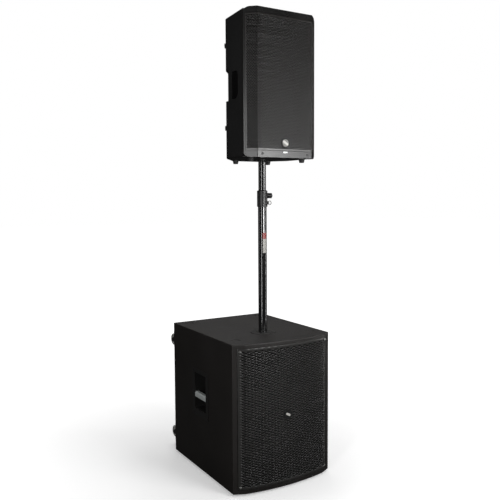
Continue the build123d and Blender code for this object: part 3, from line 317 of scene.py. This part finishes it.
def make_finishes():
    """One material for each material slot in the record."""
    plastic = dict(grain_scale=1500.0, cells=0.7, bump=0.25, bump_depth=0.0003)
    smooth = dict(grain_scale=2600.0, cells=0.3, bump=0.06, bump_depth=0.0002)
    return {
        # The box paint's lighter edges are partly wear and partly a painted highlight along the
        # edges.
        "sub_paint": surface("sub_paint", (0.0128, 0.0108, 0.0096), 0.52, grain_scale=620.0,
                             cells=0.55, bump=0.45, bump_depth=0.0007, dust=0.06, wear_and_highlight=0.5,
                             wear_and_highlight_tone=(0.07, 0.068, 0.064), wear_and_highlight_radius=0.0035),
        "baffle_wood": surface("baffle_wood", (0.02, 0.018, 0.015), 0.7, grain_scale=300.0,
                               cells=0.2, bump=0.3),
        "grille_steel": surface("grille_steel", (0.031, 0.0302, 0.0288), 0.34, bump=0.12,
                                wear_and_highlight=0.35, wear_and_highlight_radius=0.0012, **POWDER_GRAIN),
        "foam": surface("foam", (0.002, 0.002, 0.002), 0.95, grain_scale=700.0, cells=0.8, bump=0.8,
                        bump_depth=0.001, dust=0.0, specular=0.1),
        "badge": surface("badge", (0.004, 0.004, 0.004), 0.5, dust=0.0, **smooth),
        "badge_silver": surface("badge_silver", (0.60, 0.59, 0.56), 0.50, metallic=0.2, dust=0.0,
                                **smooth),
        "basket": surface("basket", (0.02, 0.02, 0.02), 0.5, **plastic),
        "cone": surface("cone", (0.02, 0.02, 0.02), 0.85, grain_scale=500.0, cells=0.2, bump=0.5),
        "port_plastic": surface("port_plastic", (0.015, 0.015, 0.015), 0.6, **plastic),
        "handle_plastic": surface("handle_plastic", (0.014, 0.0135, 0.013), 0.46, wear_and_highlight=0.4,
                                  **plastic),
        "grip_grey": surface("grip_grey", (0.66, 0.70, 0.69), 0.42, metallic=0.25, dust=0.05,
                             wear_and_highlight=0.4, wear_and_highlight_tone=(0.55, 0.56, 0.55), **smooth),
        "screw_black": surface("screw_black", (0.03, 0.03, 0.03), 0.38, metallic=0.6, wear_and_highlight=0.5,
                               wear_and_highlight_tone=(0.25, 0.25, 0.24), wear_and_highlight_radius=0.0006, **smooth),
        "screw_bright": surface("screw_bright", (0.50, 0.50, 0.48), 0.34, metallic=0.95, dust=0.0,
                                **smooth),
        "rubber": surface("rubber", (0.016, 0.016, 0.016), 0.72, dust=0.2, **plastic),
        "castor_steel": surface("castor_steel", (0.018, 0.018, 0.018), 0.4, wear_and_highlight=0.5,
                                wear_and_highlight_tone=(0.22, 0.22, 0.21), **smooth),
        "castor_wheel": surface("castor_wheel", (0.42, 0.42, 0.40), 0.55, dust=0.4, **plastic),
        "amp_panel": surface("amp_panel", (0.016, 0.016, 0.017), 0.42, wear_and_highlight=0.35, **plastic),
        "heatsink": surface("heatsink", (0.02, 0.02, 0.021), 0.38, metallic=0.6, wear_and_highlight=0.3,
                            **smooth),
        "socket_plastic": surface("socket_plastic", (0.012, 0.012, 0.012), 0.4, **smooth),
        "knob_plastic": surface("knob_plastic", (0.02, 0.02, 0.02), 0.5, **plastic),
        "switch_plastic": surface("switch_plastic", (0.012, 0.012, 0.012), 0.25, **smooth),
        "module_steel": surface("module_steel", (0.35, 0.35, 0.35), 0.4, metallic=0.9, **smooth),
        "flange_steel": surface("flange_steel", (0.02, 0.019, 0.018), 0.36, wear_and_highlight=0.5,
                                wear_and_highlight_tone=(0.2, 0.2, 0.19), **smooth),
        "pole_black": surface("pole_black", (0.008, 0.008, 0.008), 0.14, coat=0.6,
                              coat_roughness=0.1, dust=0.02, **smooth),
        "collar_plastic": surface("collar_plastic", (0.012, 0.012, 0.012), 0.34, wear_and_highlight=0.3,
                                  **plastic),
        "pin_steel": surface("pin_steel", (0.2, 0.2, 0.19), 0.3, metallic=0.9, dust=0.0, **smooth),
        "shell_plastic": surface("shell_plastic", (0.008, 0.008, 0.0082), 0.5, grain_scale=1300.0,
                                 cells=0.8, bump=0.4, bump_depth=0.0004, dust=0.04),
        "frame_plastic": surface("frame_plastic", (0.009, 0.0086, 0.0082), 0.30, coat=0.12,
                                 coat_roughness=0.25, dust=0.04, **smooth),
        "horn_plastic": surface("horn_plastic", (0.012, 0.012, 0.012), 0.5, **plastic),
        "light_lens": surface("light_lens", (0.8, 0.81, 0.8), 0.2, dust=0.0, **smooth),
    }


finish_of = make_finishes()
for node, cad_object in frame["nodes"].items():
    cad_object.data.materials.clear()
    cad_object.data.materials.append(finish_of[node_slot[node]])
print(len(finish_of), "finishes on", len(frame["nodes"]), "CAD nodes")


# %% [markdown]
# ## Meshes from arrays
# New pieces are worked out with numpy as whole arrays of points and four-cornered faces. One
# function puts them into a mesh, gives it its finish, and lets it ride on a body in place of a
# CAD node.


# %% Mesh helpers
SHARP_ANGLE = math.radians(35)


def quads(name, points, faces, slot, body, replaced=(), flat=False):
    """A mesh from an (n, 3) array of points and an (m, 3) or (m, 4) array of corner numbers. A flat
    one keeps its facets, and any other is smooth up to SHARP_ANGLE."""
    mesh = bpy.data.meshes.new(name)
    mesh.vertices.add(len(points))
    mesh.vertices.foreach_set("co", np.asarray(points, np.float32).ravel())
    mesh.loops.add(faces.size)
    mesh.loops.foreach_set("vertex_index", np.asarray(faces, np.int32).ravel())
    mesh.polygons.add(len(faces))
    first_loop = np.arange(len(faces), dtype=np.int32) * faces.shape[1]
    mesh.polygons.foreach_set("loop_start", first_loop)
    mesh.update(calc_edges=True)
    mesh.validate()
    if not flat:
        mesh.polygons.foreach_set("use_smooth", np.ones(len(mesh.polygons), bool))
        mesh.set_sharp_from_angle(angle=SHARP_ANGLE)
    piece = bpy.data.objects.new(name, mesh)
    bpy.context.scene.collection.objects.link(piece)
    piece.data.materials.append(finish_of[slot])
    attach(piece, body)
    if replaced:
        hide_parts(*replaced)
    print(name, len(faces), "faces on", body)
    return piece


def turned_points(profile, segments):
    """A lathe: every (radius, along) of the profile goes round a circle in equal steps."""
    radius, along = np.asarray(profile, float).T
    angle = np.linspace(0, 2 * np.pi, segments, endpoint=False)
    return np.stack([
        radius[:, None] * np.cos(angle),
        radius[:, None] * np.sin(angle),
        np.broadcast_to(along[:, None], (len(radius), segments)),
    ], axis=-1)


def ring_faces(rows, segments, closed):
    """Faces between neighbouring rings; closed also joins the last ring to the first."""
    row = np.arange(rows if closed else rows - 1)[:, None]
    step = np.arange(segments)[None, :]
    after, beside = (row + 1) % rows, (step + 1) % segments
    return np.stack([row * segments + step, row * segments + beside, after * segments + beside,
                     after * segments + step], axis=-1).reshape(-1, 4)


# %% [markdown]
# ## Perforated steel
# A perforated sheet could be a texture with transparency, but its edges and the light on its bars
# would be wrong close up. Here it is real geometry: the sheet is tiled with six-sided cells in a
# staggered pattern, and each cell is a ring of faces round a six-sided hole. Cells near the rim
# have no hole, and points near or past the rim are moved onto it, which leaves a plain straight
# border. Cells that this flattens are dropped before the border is traced, so the sheet stays
# closed. The flat pattern is then wrapped along the sheet's plan profile by arc length.


# %% Cells and their holes
SNAP = 0.0013
CUT_REACH = 0.7
TINY_LENGTH, TINY_AREA = 1e-6, 1e-9
CELL = np.array([(0, 2 / 3), (0.5, 1 / 3), (0.5, -1 / 3), (0, -2 / 3), (-0.5, -1 / 3),
                 (-0.5, 1 / 3)])


def cell_pattern(half_size, pitch, hole, border, cut_holes):
    """Corners of all cells (n, 6, 2), the same for their holes, and which cells have a hole. Cell
    centres lie on rows, and every other row is moved along by half a pitch. Holes keep off the
    border. With cut_holes, one whose centre is past it by under CUT_REACH of its half width is cut
    short there."""
    columns, rows = np.ceil(half_size / pitch).astype(int) + 1
    row, column = np.meshgrid(np.arange(-rows, rows + 1), np.arange(-columns, columns + 1),
                              indexing="ij")
    along = (column + 0.5 * (row % 2)) * pitch[0]
    centre = np.stack([along, row * pitch[1]], axis=-1).reshape(-1, 2)
    limit = half_size - border
    reach = hole[:, 0].max() * (CUT_REACH if cut_holes else -1.0)
    holed = np.abs(centre[:, 0]) < limit[0] + reach
    holed &= np.abs(centre[:, 1]) < limit[1] - hole[:, 1].max()
    inner = np.clip(centre[:, None] + hole, -limit, limit)
    outer = centre[:, None] + CELL * pitch
    outer = np.where(np.abs(outer) > half_size - SNAP, np.sign(outer) * half_size, outer)
    kept = (np.abs(centre) - (CELL * pitch).max(0) < half_size - TINY_LENGTH).all(axis=1)
    return outer[kept], inner[kept], holed[kept]


def shared_points(corners):
    """Corners that neighbouring cells have in common, kept once."""
    flat_corners = corners.reshape(-1, 2)
    _, first, back = np.unique(np.round(flat_corners, 6), axis=0, return_index=True,
                               return_inverse=True)
    return flat_corners[first], back.reshape(corners.shape[:2])


def flat_area(corners):
    """Area of each (n, 4, 2) quad: half the cross product of its diagonals."""
    first, second = corners[:, 2] - corners[:, 0], corners[:, 3] - corners[:, 1]
    return np.abs(first[:, 0] * second[:, 1] - first[:, 1] * second[:, 0]) / 2


def split_faces(points, faces):
    """Joins points in the same place, then halves each quad along the diagonal whose smaller
    triangle is larger. Triangles with two corners in one place are left out, and so are unused
    points."""
    _, first, number = np.unique(np.round(points, 7), axis=0, return_index=True,
                                 return_inverse=True)
    faces = number.reshape(-1)[faces]
    halves = [faces[:, [[0, 1, 2], [0, 2, 3]]], faces[:, [[1, 2, 3], [1, 3, 0]]]]
    smaller = []
    for half in halves:
        a, b, c = (points[first][half[..., corner]] for corner in range(3))
        smaller.append(np.linalg.norm(np.cross(b - a, c - a), axis=-1).min(axis=1))
    better = (smaller[0] >= smaller[1])[:, None, None]
    chosen = np.where(better, halves[0], halves[1]).reshape(-1, 3)
    distinct = (chosen != np.roll(chosen, 1, axis=1)).all(axis=1)
    used, again = np.unique(chosen[distinct], return_inverse=True)
    return points[first][used], again.reshape(-1, 3)


# %% [markdown]
# ## Wrapping the flat pattern
# Both skins of the sheet, the walls of the holes and the rim that turns back are the same few
# arrays of points at different depths, joined by strips of faces. The rim's outer corner is
# chamfered, so it catches light as folded steel does.


# %% Folded sheet with holes
class Wrap:
    """Wraps flat places (along, up) round a plan profile. The profile runs from -X to +X with its
    outer side to -Y, and its length along the arc is the flat sheet's width."""

    def __init__(self, profile, z_span):
        self.profile = profile
        run = np.r_[0, np.cumsum(np.hypot(*np.diff(profile, axis=0).T))]
        self.run = run - run[-1] / 2
        tangent = np.gradient(profile, self.run, axis=0)
        self.inward = np.stack([-tangent[:, 1], tangent[:, 0]], axis=1)
        self.half_size = np.array([self.run[-1], (z_span[1] - z_span[0]) / 2])
        self.middle = (z_span[1] + z_span[0]) / 2

    def __call__(self, places, depth, shrink):
        """Points at a depth under the outer face, with the outline drawn in by shrink."""
        limit = self.half_size - shrink
        along, up = np.clip(places, -limit, limit).T
        at = [np.interp(along, self.run, self.profile[:, axis]) for axis in (0, 1)]
        inward = [np.interp(along, self.run, self.inward[:, axis]) for axis in (0, 1)]
        plan = [at[axis] + inward[axis] * depth for axis in (0, 1)]
        return np.stack([*plan, up + self.middle], axis=1)


def perforated_sheet(name, wrap, sheet, lip_y, pitch, hole, border, cut_holes, dish, slot, body,
                     node):
    """Front and back skins from rings round the holes, hole walls, and a rim turned back to lip_y.
    With a dish, the front face falls by that much towards each hole, so its strands are ridged.
    The points come as rim front, rim back, hole front, hole back, shoulder, lip, lip's inside."""
    outer, inner, holed = cell_pattern(wrap.half_size, pitch, hole, border, cut_holes)
    rim, number = shared_points(outer)
    holes = inner[holed].reshape(-1, 2)
    chamfer = sheet / 2
    count, hole_count = len(rim), len(holes)
    corner = np.arange(hole_count).reshape(-1, 6) + 2 * count
    turn = np.roll(np.arange(6), -1)
    ring = np.stack([number[holed], number[holed][:, turn], corner[:, turn], corner], axis=-1)
    ring = ring.reshape(-1, 4)
    plain = number[~holed]
    solid = np.concatenate([plain[:, [0, 1, 2, 3]], plain[:, [3, 4, 5, 0]]])
    solid = solid[flat_area(rim[solid]) > TINY_AREA]
    front = np.concatenate([ring, solid])
    back = np.where(front >= 2 * count, front + hole_count, front + count)[:, ::-1]
    walls = np.stack([corner, corner[:, turn], corner[:, turn] + hole_count, corner + hole_count],
                     axis=-1).reshape(-1, 4)

    edges = np.stack([front, np.roll(front, -1, axis=1)], axis=-1).reshape(-1, 2)
    edges = edges[(edges < count).all(axis=1)]
    _, first, seen = np.unique(np.sort(edges, axis=1), axis=0, return_index=True,
                               return_counts=True)
    start, stop = edges[first[seen == 1]].T
    shoulder = wrap(rim, chamfer, 0)
    lip, lip_inside = shoulder.copy(), wrap(rim, sheet, sheet)
    lip[:, 1] = lip_y
    lip_inside[:, 1] = lip_y
    base = 2 * (count + hole_count)
    levels = [0, base, base + count, base + 2 * count, count]
    strips = [np.stack([start + low, stop + low, stop + high, start + high], axis=1)
              for low, high in zip(levels[:-1], levels[1:])]
    skins = [wrap(rim, 0, chamfer), wrap(rim, sheet, sheet), wrap(holes, dish, 0),
             wrap(holes, sheet, 0)]
    points = np.concatenate(skins + [shoulder, lip, lip_inside])
    faces = np.concatenate([front[:, ::-1], back[:, ::-1], walls[:, ::-1]] + strips)
    print(name, int(holed.sum()), "holes")
    return quads(name, *split_faces(points, faces), slot, body, (node,), flat=True)


# %% [markdown]
# ## The subwoofer's grille
# The subwoofer's grille follows the bow of the box: a flat facet, a wide arc and a facet again.
# Its openings are wide and low, with a thin ridged strand between them, as in expanded steel. It
# could be bent from a flat mesh with a curve modifier, but a profile with a known arc length
# keeps the openings even round the bow.


# %% Subwoofer grille
SUB_BEND_SHARE = 207 / 238
SUB_FACET_SLOPE = 24.5 / 52
SUB_BOW_RISE = 0.0215
SUB_ARC_POINTS, SUB_FACET_POINTS = 121, 9
SUB_STEEL, SUB_DISH = 0.002, 0.0012
SUB_MESH = np.array([0.0318, 0.0057])
SUB_OPENING = np.array([(0, 2.8), (12.6, 1.0), (12.6, -1.0), (0, -2.8), (-12.6, -1.0),
                        (-12.6, 1.0)]) / 1000
SUB_BORDER = np.array([0.017, 0.011])


def bowed_profile(low, high):
    """Facet, arc, facet. The arc's radius is (half the chord squared plus the rise squared) over
    twice the rise."""
    half, bend = high.x, high.x * SUB_BEND_SHARE
    facet = (half - bend) * SUB_FACET_SLOPE
    radius = (bend ** 2 + SUB_BOW_RISE ** 2) / (2 * SUB_BOW_RISE)
    x = np.linspace(-bend, bend, SUB_ARC_POINTS)
    y = low.y + radius - np.sqrt(radius ** 2 - x ** 2)
    left = np.linspace((-half, y[0] + facet), (-bend, y[0]), SUB_FACET_POINTS)[:-1]
    right = np.linspace((bend, y[0]), (half, y[0] + facet), SUB_FACET_POINTS)[1:]
    return np.concatenate([left, np.stack([x, y], axis=1), right])


sub_low, sub_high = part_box("sub_grille")
sub_wrap = Wrap(bowed_profile(sub_low, sub_high), (sub_low.z, sub_high.z))
perforated_sheet("sub_grille_mesh", sub_wrap, SUB_STEEL, sub_high.y, SUB_MESH, SUB_OPENING,
                 SUB_BORDER, True, SUB_DISH, "grille_steel", "subwoofer", "sub_grille")


# %% [markdown]
# ## The top speaker's grille
# This one is flat, with a folded facet on each side, and its holes are small and six-sided, close
# together like honeycomb, so it lets sound through and hides the drivers. The same sheet function
# makes it from another profile. Its coat is a little rougher and browner than the other grille's.


# %% Top speaker grille
TOP_FACET_SLOPE = 45 / 42
TOP_FOLD_POINTS = 12
TOP_SHEET = 0.0016
TOP_STEEL = 0.0014
TOP_MESH = np.array([0.0070, 0.00606])
TOP_HOLE_SHARE = 0.72
TOP_BORDER = np.array([0.004, 0.005])


def folded_profile(low, high):
    """Facet, flat, facet, with the facets at the slope of the cabinet's front corners. The node's
    box ends at the back of a folded sheet TOP_SHEET thick, so the facet's outer edge lies one
    slanted thickness forward."""
    edge_y = high.y - TOP_SHEET * math.hypot(1, 1 / TOP_FACET_SLOPE)
    fold = high.x - (edge_y - low.y) * TOP_FACET_SLOPE
    corners = [(-high.x, edge_y), (-fold, low.y), (fold, low.y), (high.x, edge_y)]
    steps = [np.linspace(start, stop, TOP_FOLD_POINTS)[:-1]
             for start, stop in zip(corners[:-1], corners[1:])]
    return np.concatenate(steps + [np.array(corners[-1:])])


top_low, top_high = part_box("top_grille")
top_wrap = Wrap(folded_profile(top_low, top_high), (top_low.z, top_high.z))
top_mesh = perforated_sheet("top_grille_mesh", top_wrap, TOP_STEEL, top_high.y, TOP_MESH,
                            CELL * TOP_MESH * TOP_HOLE_SHARE, TOP_BORDER, False, 0.0,
                            "grille_steel", "top_speaker", "top_grille")
top_mesh.data.materials[0] = surface("fine_grille_coat", (0.017, 0.0153, 0.0138), 0.33, bump=0.10,
                                     specular=0.8, **POWDER_GRAIN)

# %% [markdown]
# ## Badges
# Both badges are plain round ones. The top speaker's silver disc gets a dark rim and a raised
# diagonal bar, and the subwoofer's dark disc gets a small bright bar: simple shapes that say
# badge without saying anything else. The bars are low pillows: a rounded rectangle whose height
# falls to nothing at its edge, which gives a soft highlight that a flat bar wouldn't.


# %% Badge rim and bars
RIM_PROFILE = [(0.0160, -0.001), (0.0216, -0.001), (0.0224, 0.0), (0.0216, 0.0010),
               (0.0188, 0.0012), (0.0162, 0.0005)]
PILLOW_RINGS, PILLOW_STEPS = 12, 48
PILLOW_CORNER, PILLOW_FALL, PILLOW_FULLNESS = 5, 0.35, 0.995
PILLOW_SINK = 0.4


def lathe(name, profile, centre, slot, body, segments=72):
    """A closed profile of (radius, distance out) points turned round the -Y axis at centre."""
    rings = turned_points(profile, segments)
    points = np.stack([rings[..., 0], -rings[..., 2], rings[..., 1]], axis=-1).reshape(-1, 3)
    faces = ring_faces(len(profile), segments, closed=True)
    return quads(name, points + centre, faces, slot, body)


def pillow_bar(name, centre, half_length, half_width, height, tilt, slot, body):
    """A raised bar on a face that looks to -Y. Its outline is a superellipse of power
    PILLOW_CORNER, drawn in rings from the middle out. Its height is (1 - PILLOW_FULLNESS times
    share squared) to the power PILLOW_FALL. Its closed back sinks in by PILLOW_SINK of height."""
    share = np.r_[np.linspace(0.08, 1.0, PILLOW_RINGS), 0.98, 0.08]
    angle = np.linspace(0, 2 * np.pi, PILLOW_STEPS, endpoint=False)
    power = 2 / PILLOW_CORNER
    across = np.sign(np.cos(angle)) * np.abs(np.cos(angle)) ** power * half_length
    up = np.sign(np.sin(angle)) * np.abs(np.sin(angle)) ** power * half_width
    crown = (1 - share[:PILLOW_RINGS] ** 2 * PILLOW_FULLNESS) ** PILLOW_FALL
    rise = np.r_[crown, -PILLOW_SINK, -PILLOW_SINK] * height
    along = share[:, None] * across
    over = share[:, None] * up
    x = along * math.cos(tilt) - over * math.sin(tilt)
    z = along * math.sin(tilt) + over * math.cos(tilt)
    y = np.broadcast_to(-rise[:, None], x.shape)
    points = np.stack([x, y, z], axis=-1).reshape(-1, 3) + np.array(centre)
    faces = ring_faces(len(share), PILLOW_STEPS, closed=True)[:, ::-1]
    return quads(name, points, faces, slot, body)


top_badge_low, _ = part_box("top_badge")
top_badge_face = np.array([0.0, top_badge_low.y, middle("top_badge").z])
lathe("top_badge_rim", RIM_PROFILE, top_badge_face, "badge", "top_speaker")
frame["nodes"]["top_badge"].data.materials[0] = surface(
    "badge_disc", (0.24, 0.235, 0.22), 0.5, grain_scale=2600.0, cells=0.3, bump=0.06,
    bump_depth=0.0002, dust=0.0, variation=0.05)
pillow_bar("top_badge_bar", top_badge_face, 0.0150, 0.0052, 0.0009, math.radians(-32),
           "badge_silver", "top_speaker")

sub_badge_low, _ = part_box("sub_badge")
sub_badge_face = np.array([0.0, sub_badge_low.y + 0.0003, middle("sub_badge").z])
pillow_bar("sub_badge_bar", sub_badge_face, 0.0125, 0.0050, 0.0010, math.radians(-28),
           "badge_silver", "subwoofer")

# %% [markdown]
# ## Label on the pole
# The pole carries a printed film label: a white field and a coloured block above it. It is a thin
# patch of a cylinder just outside the tube, and the two colours are chosen by height in its
# material.


# %% Pole label
LABEL_BASE_Z, LABEL_TOP_Z, LABEL_SPLIT_Z = 1.043, 1.136, 1.108
LABEL_THICK, LABEL_LIFT = 0.0002, 0.0003
LABEL_HALF_WIDTH = 0.010
LABEL_COLUMNS = 17


def label_material():
    """White film with a red block above the split, slightly worn."""
    material = bpy.data.materials.new("label_film")
    material.use_nodes = True
    graph = Graph(material.node_tree)
    shader = material.node_tree.nodes["Principled BSDF"]
    height = graph.add("ShaderNodeSeparateXYZ", None, Vector=graph.place()).outputs["Z"]
    block = graph.math("GREATER_THAN", height, LABEL_SPLIT_Z)
    film = graph.add("ShaderNodeGroup", {"node_tree": FILM}, Scale=60.0, Dust=0.0)
    worn = graph.remap(film.outputs["Clouds"], 0.3, 0.7, 0.75, 1.0)
    tone = graph.blend(block, colour(0.42, 0.41, 0.38), colour(0.30, 0.018, 0.014))
    graph.put(shader.inputs["Base Color"], graph.blend(worn, colour(0.12, 0.11, 0.1), tone))
    shader.inputs["Roughness"].default_value = 0.35
    return material


def pole_label():
    """A cylinder patch: angle across, height up, closed by a second skin LABEL_THICK further in.
    Each row of points goes across the outer skin and comes back along the inner one."""
    low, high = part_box("pole_lower_tube")
    radius = (high.x - low.x) / 2 + LABEL_LIFT
    half_angle = LABEL_HALF_WIDTH / radius
    angle = np.linspace(-half_angle, half_angle, LABEL_COLUMNS) - math.pi / 2
    loop = np.r_[angle, angle[::-1]]
    around = np.r_[np.full(LABEL_COLUMNS, radius), np.full(LABEL_COLUMNS, radius - LABEL_THICK)]
    height = np.array([LABEL_BASE_Z, LABEL_SPLIT_Z, LABEL_TOP_Z])
    shape = (len(height), len(loop))
    x = np.broadcast_to(around * np.cos(loop), shape)
    y = np.broadcast_to(around * np.sin(loop) + (low.y + high.y) / 2, shape)
    z = np.broadcast_to(height[:, None], shape)
    points = np.stack([x, y, z], axis=-1).reshape(-1, 3)
    step = np.arange(LABEL_COLUMNS - 1)
    last = len(loop) - 1
    end = np.stack([step + 1, step, last - step, last - 1 - step], axis=1)
    ends = [base + end for base in (0, (len(height) - 1) * len(loop))]
    sides = ring_faces(*shape, closed=False)
    faces = np.concatenate([sides, ends[0], ends[1][:, ::-1]])
    label = quads("pole_label", points, faces, "light_lens", "subwoofer")
    label.data.materials.clear()
    label.data.materials.append(label_material())


pole_label()

# %% [markdown]
# ## Floor and sky
# A dark object on a pale ground needs light that draws it and little that fogs it. The floor and
# sky are white to the camera but give almost no light themselves. A real studio would do this
# with black flags beside a white sweep, and Light Path does the same in two nodes.


# %% Floor and sky
FLOOR_HALF_SIZE = 30.0
FLOOR_GLOW = 0.35
FLOOR_BOUNCE = 0.06
FLOOR_FADE = (0.5, 2.4)
SKY = (0.035, 0.02)


def pale_floor():
    """A wide plane: pale near the stack, where it takes shadows, and plain white further out."""
    mesh = bpy.data.meshes.new("floor")
    corners = [(x * FLOOR_HALF_SIZE, y * FLOOR_HALF_SIZE, 0)
               for x, y in ((-1, -1), (1, -1), (1, 1), (-1, 1))]
    mesh.from_pydata(corners, [], [(0, 1, 2, 3)])
    floor = bpy.data.objects.new("floor", mesh)
    bpy.context.scene.collection.objects.link(floor)
    material = bpy.data.materials.new("pale_floor")
    material.use_nodes = True
    graph = Graph(material.node_tree)
    shader = material.node_tree.nodes["Principled BSDF"]
    seen = graph.add("ShaderNodeLightPath").outputs["Is Camera Ray"]
    distance = graph.add("ShaderNodeVectorMath", {"operation": "LENGTH"})
    graph.put(distance.inputs[0], graph.place())
    glow = graph.remap(distance.outputs["Value"], *FLOOR_FADE, FLOOR_GLOW, 1.0)
    tone = graph.blend(seen, colour(*[FLOOR_BOUNCE] * 3), colour(0.9, 0.9, 0.9))
    graph.put(shader.inputs["Base Color"], tone)
    shader.inputs["Emission Color"].default_value = colour(1, 1, 1)
    graph.put(shader.inputs["Emission Strength"], graph.math("MULTIPLY", seen, glow))
    shader.inputs["Roughness"].default_value = 1.0
    shader.inputs["Specular IOR Level"].default_value = 0.0
    mesh.materials.append(material)


def studio_world():
    """White to the camera; to everything else a dim sky that is a little brighter low down."""
    world = bpy.data.worlds.new("studio")
    bpy.context.scene.world = world
    world.use_nodes = True
    graph = Graph(world.node_tree)
    background = world.node_tree.nodes["Background"]
    seen = graph.add("ShaderNodeLightPath").outputs["Is Camera Ray"]
    direction = graph.add("ShaderNodeTexCoord").outputs["Generated"]
    height = graph.add("ShaderNodeSeparateXYZ", None, Vector=direction)
    sky = graph.remap(height.outputs["Z"], 0.0, 0.5, *SKY)
    dim = graph.math("MULTIPLY", graph.math("SUBTRACT", 1.0, seen), sky)
    graph.put(background.inputs["Strength"], graph.math("ADD", seen, dim))
    background.inputs["Color"].default_value = colour(1, 1, 1)


pale_floor()
studio_world()


# %% [markdown]
# ## Lamps
# Dark objects are drawn by what they reflect, so the lamps are few and placed one by one. A large
# box overhead lights the tops. A small bright one in front and to the right is mirrored low down
# on the flat of the top grille and in the strip under it. A smaller one hangs close in front,
# level with the gap between the boxes, so the top grille darkens upwards and the lower one
# downwards. Tall ones on both sides draw lines down the pole and light the cabinet's folded
# corner. One behind lights the back.


# %% Lamps
def soft_box(name, place, aim, width, height, radiance):
    """An area lamp that faces aim. Its power is radiance times pi times its area."""
    data = bpy.data.lights.new(name, "AREA")
    data.shape = "RECTANGLE"
    data.size, data.size_y = width, height
    data.energy = radiance * math.pi * width * height
    lamp = bpy.data.objects.new(name, data)
    bpy.context.scene.collection.objects.link(lamp)
    lamp.location = place
    lamp.rotation_euler = (Vector(aim) - Vector(place)).to_track_quat("-Z", "Y").to_euler()
    lamp.visible_camera = False
    print(name, round(data.energy, 1), "W")


# name, place, aim, width, height, radiance
LAMPS = [
    ("lamp_overhead", (0.2, 0.3, 4.4), (0, 0.0, 0), 3.0, 2.4, 3.2),
    ("lamp_right", (1.45, -2.9, 1.68), (0, -0.3, 1.3), 0.70, 0.6, 18.0),
    ("lamp_near", (0.15, -1.45, 1.15), (-0.05, -0.36, 1.3), 0.3, 0.25, 36.0),
    ("lamp_left", (-2.55, -2.05, 1.1), (0, -0.3, 1.1), 0.35, 2.0, 13.0),
    ("lamp_strip", (2.4, -1.2, 1.1), (0, -0.2, 1.1), 0.18, 2.0, 12.0),
    ("lamp_edge", (-2.4, 0.9, 1.3), (0, -0.2, 1.0), 0.2, 1.8, 3.0),
    ("lamp_back", (1.4, 2.6, 3.6), (0, 0, 1.0), 1.4, 1.4, 2.0),
]
for lamp_facts in LAMPS:
    soft_box(*lamp_facts)
bpy.context.scene.view_settings.view_transform = "Standard"
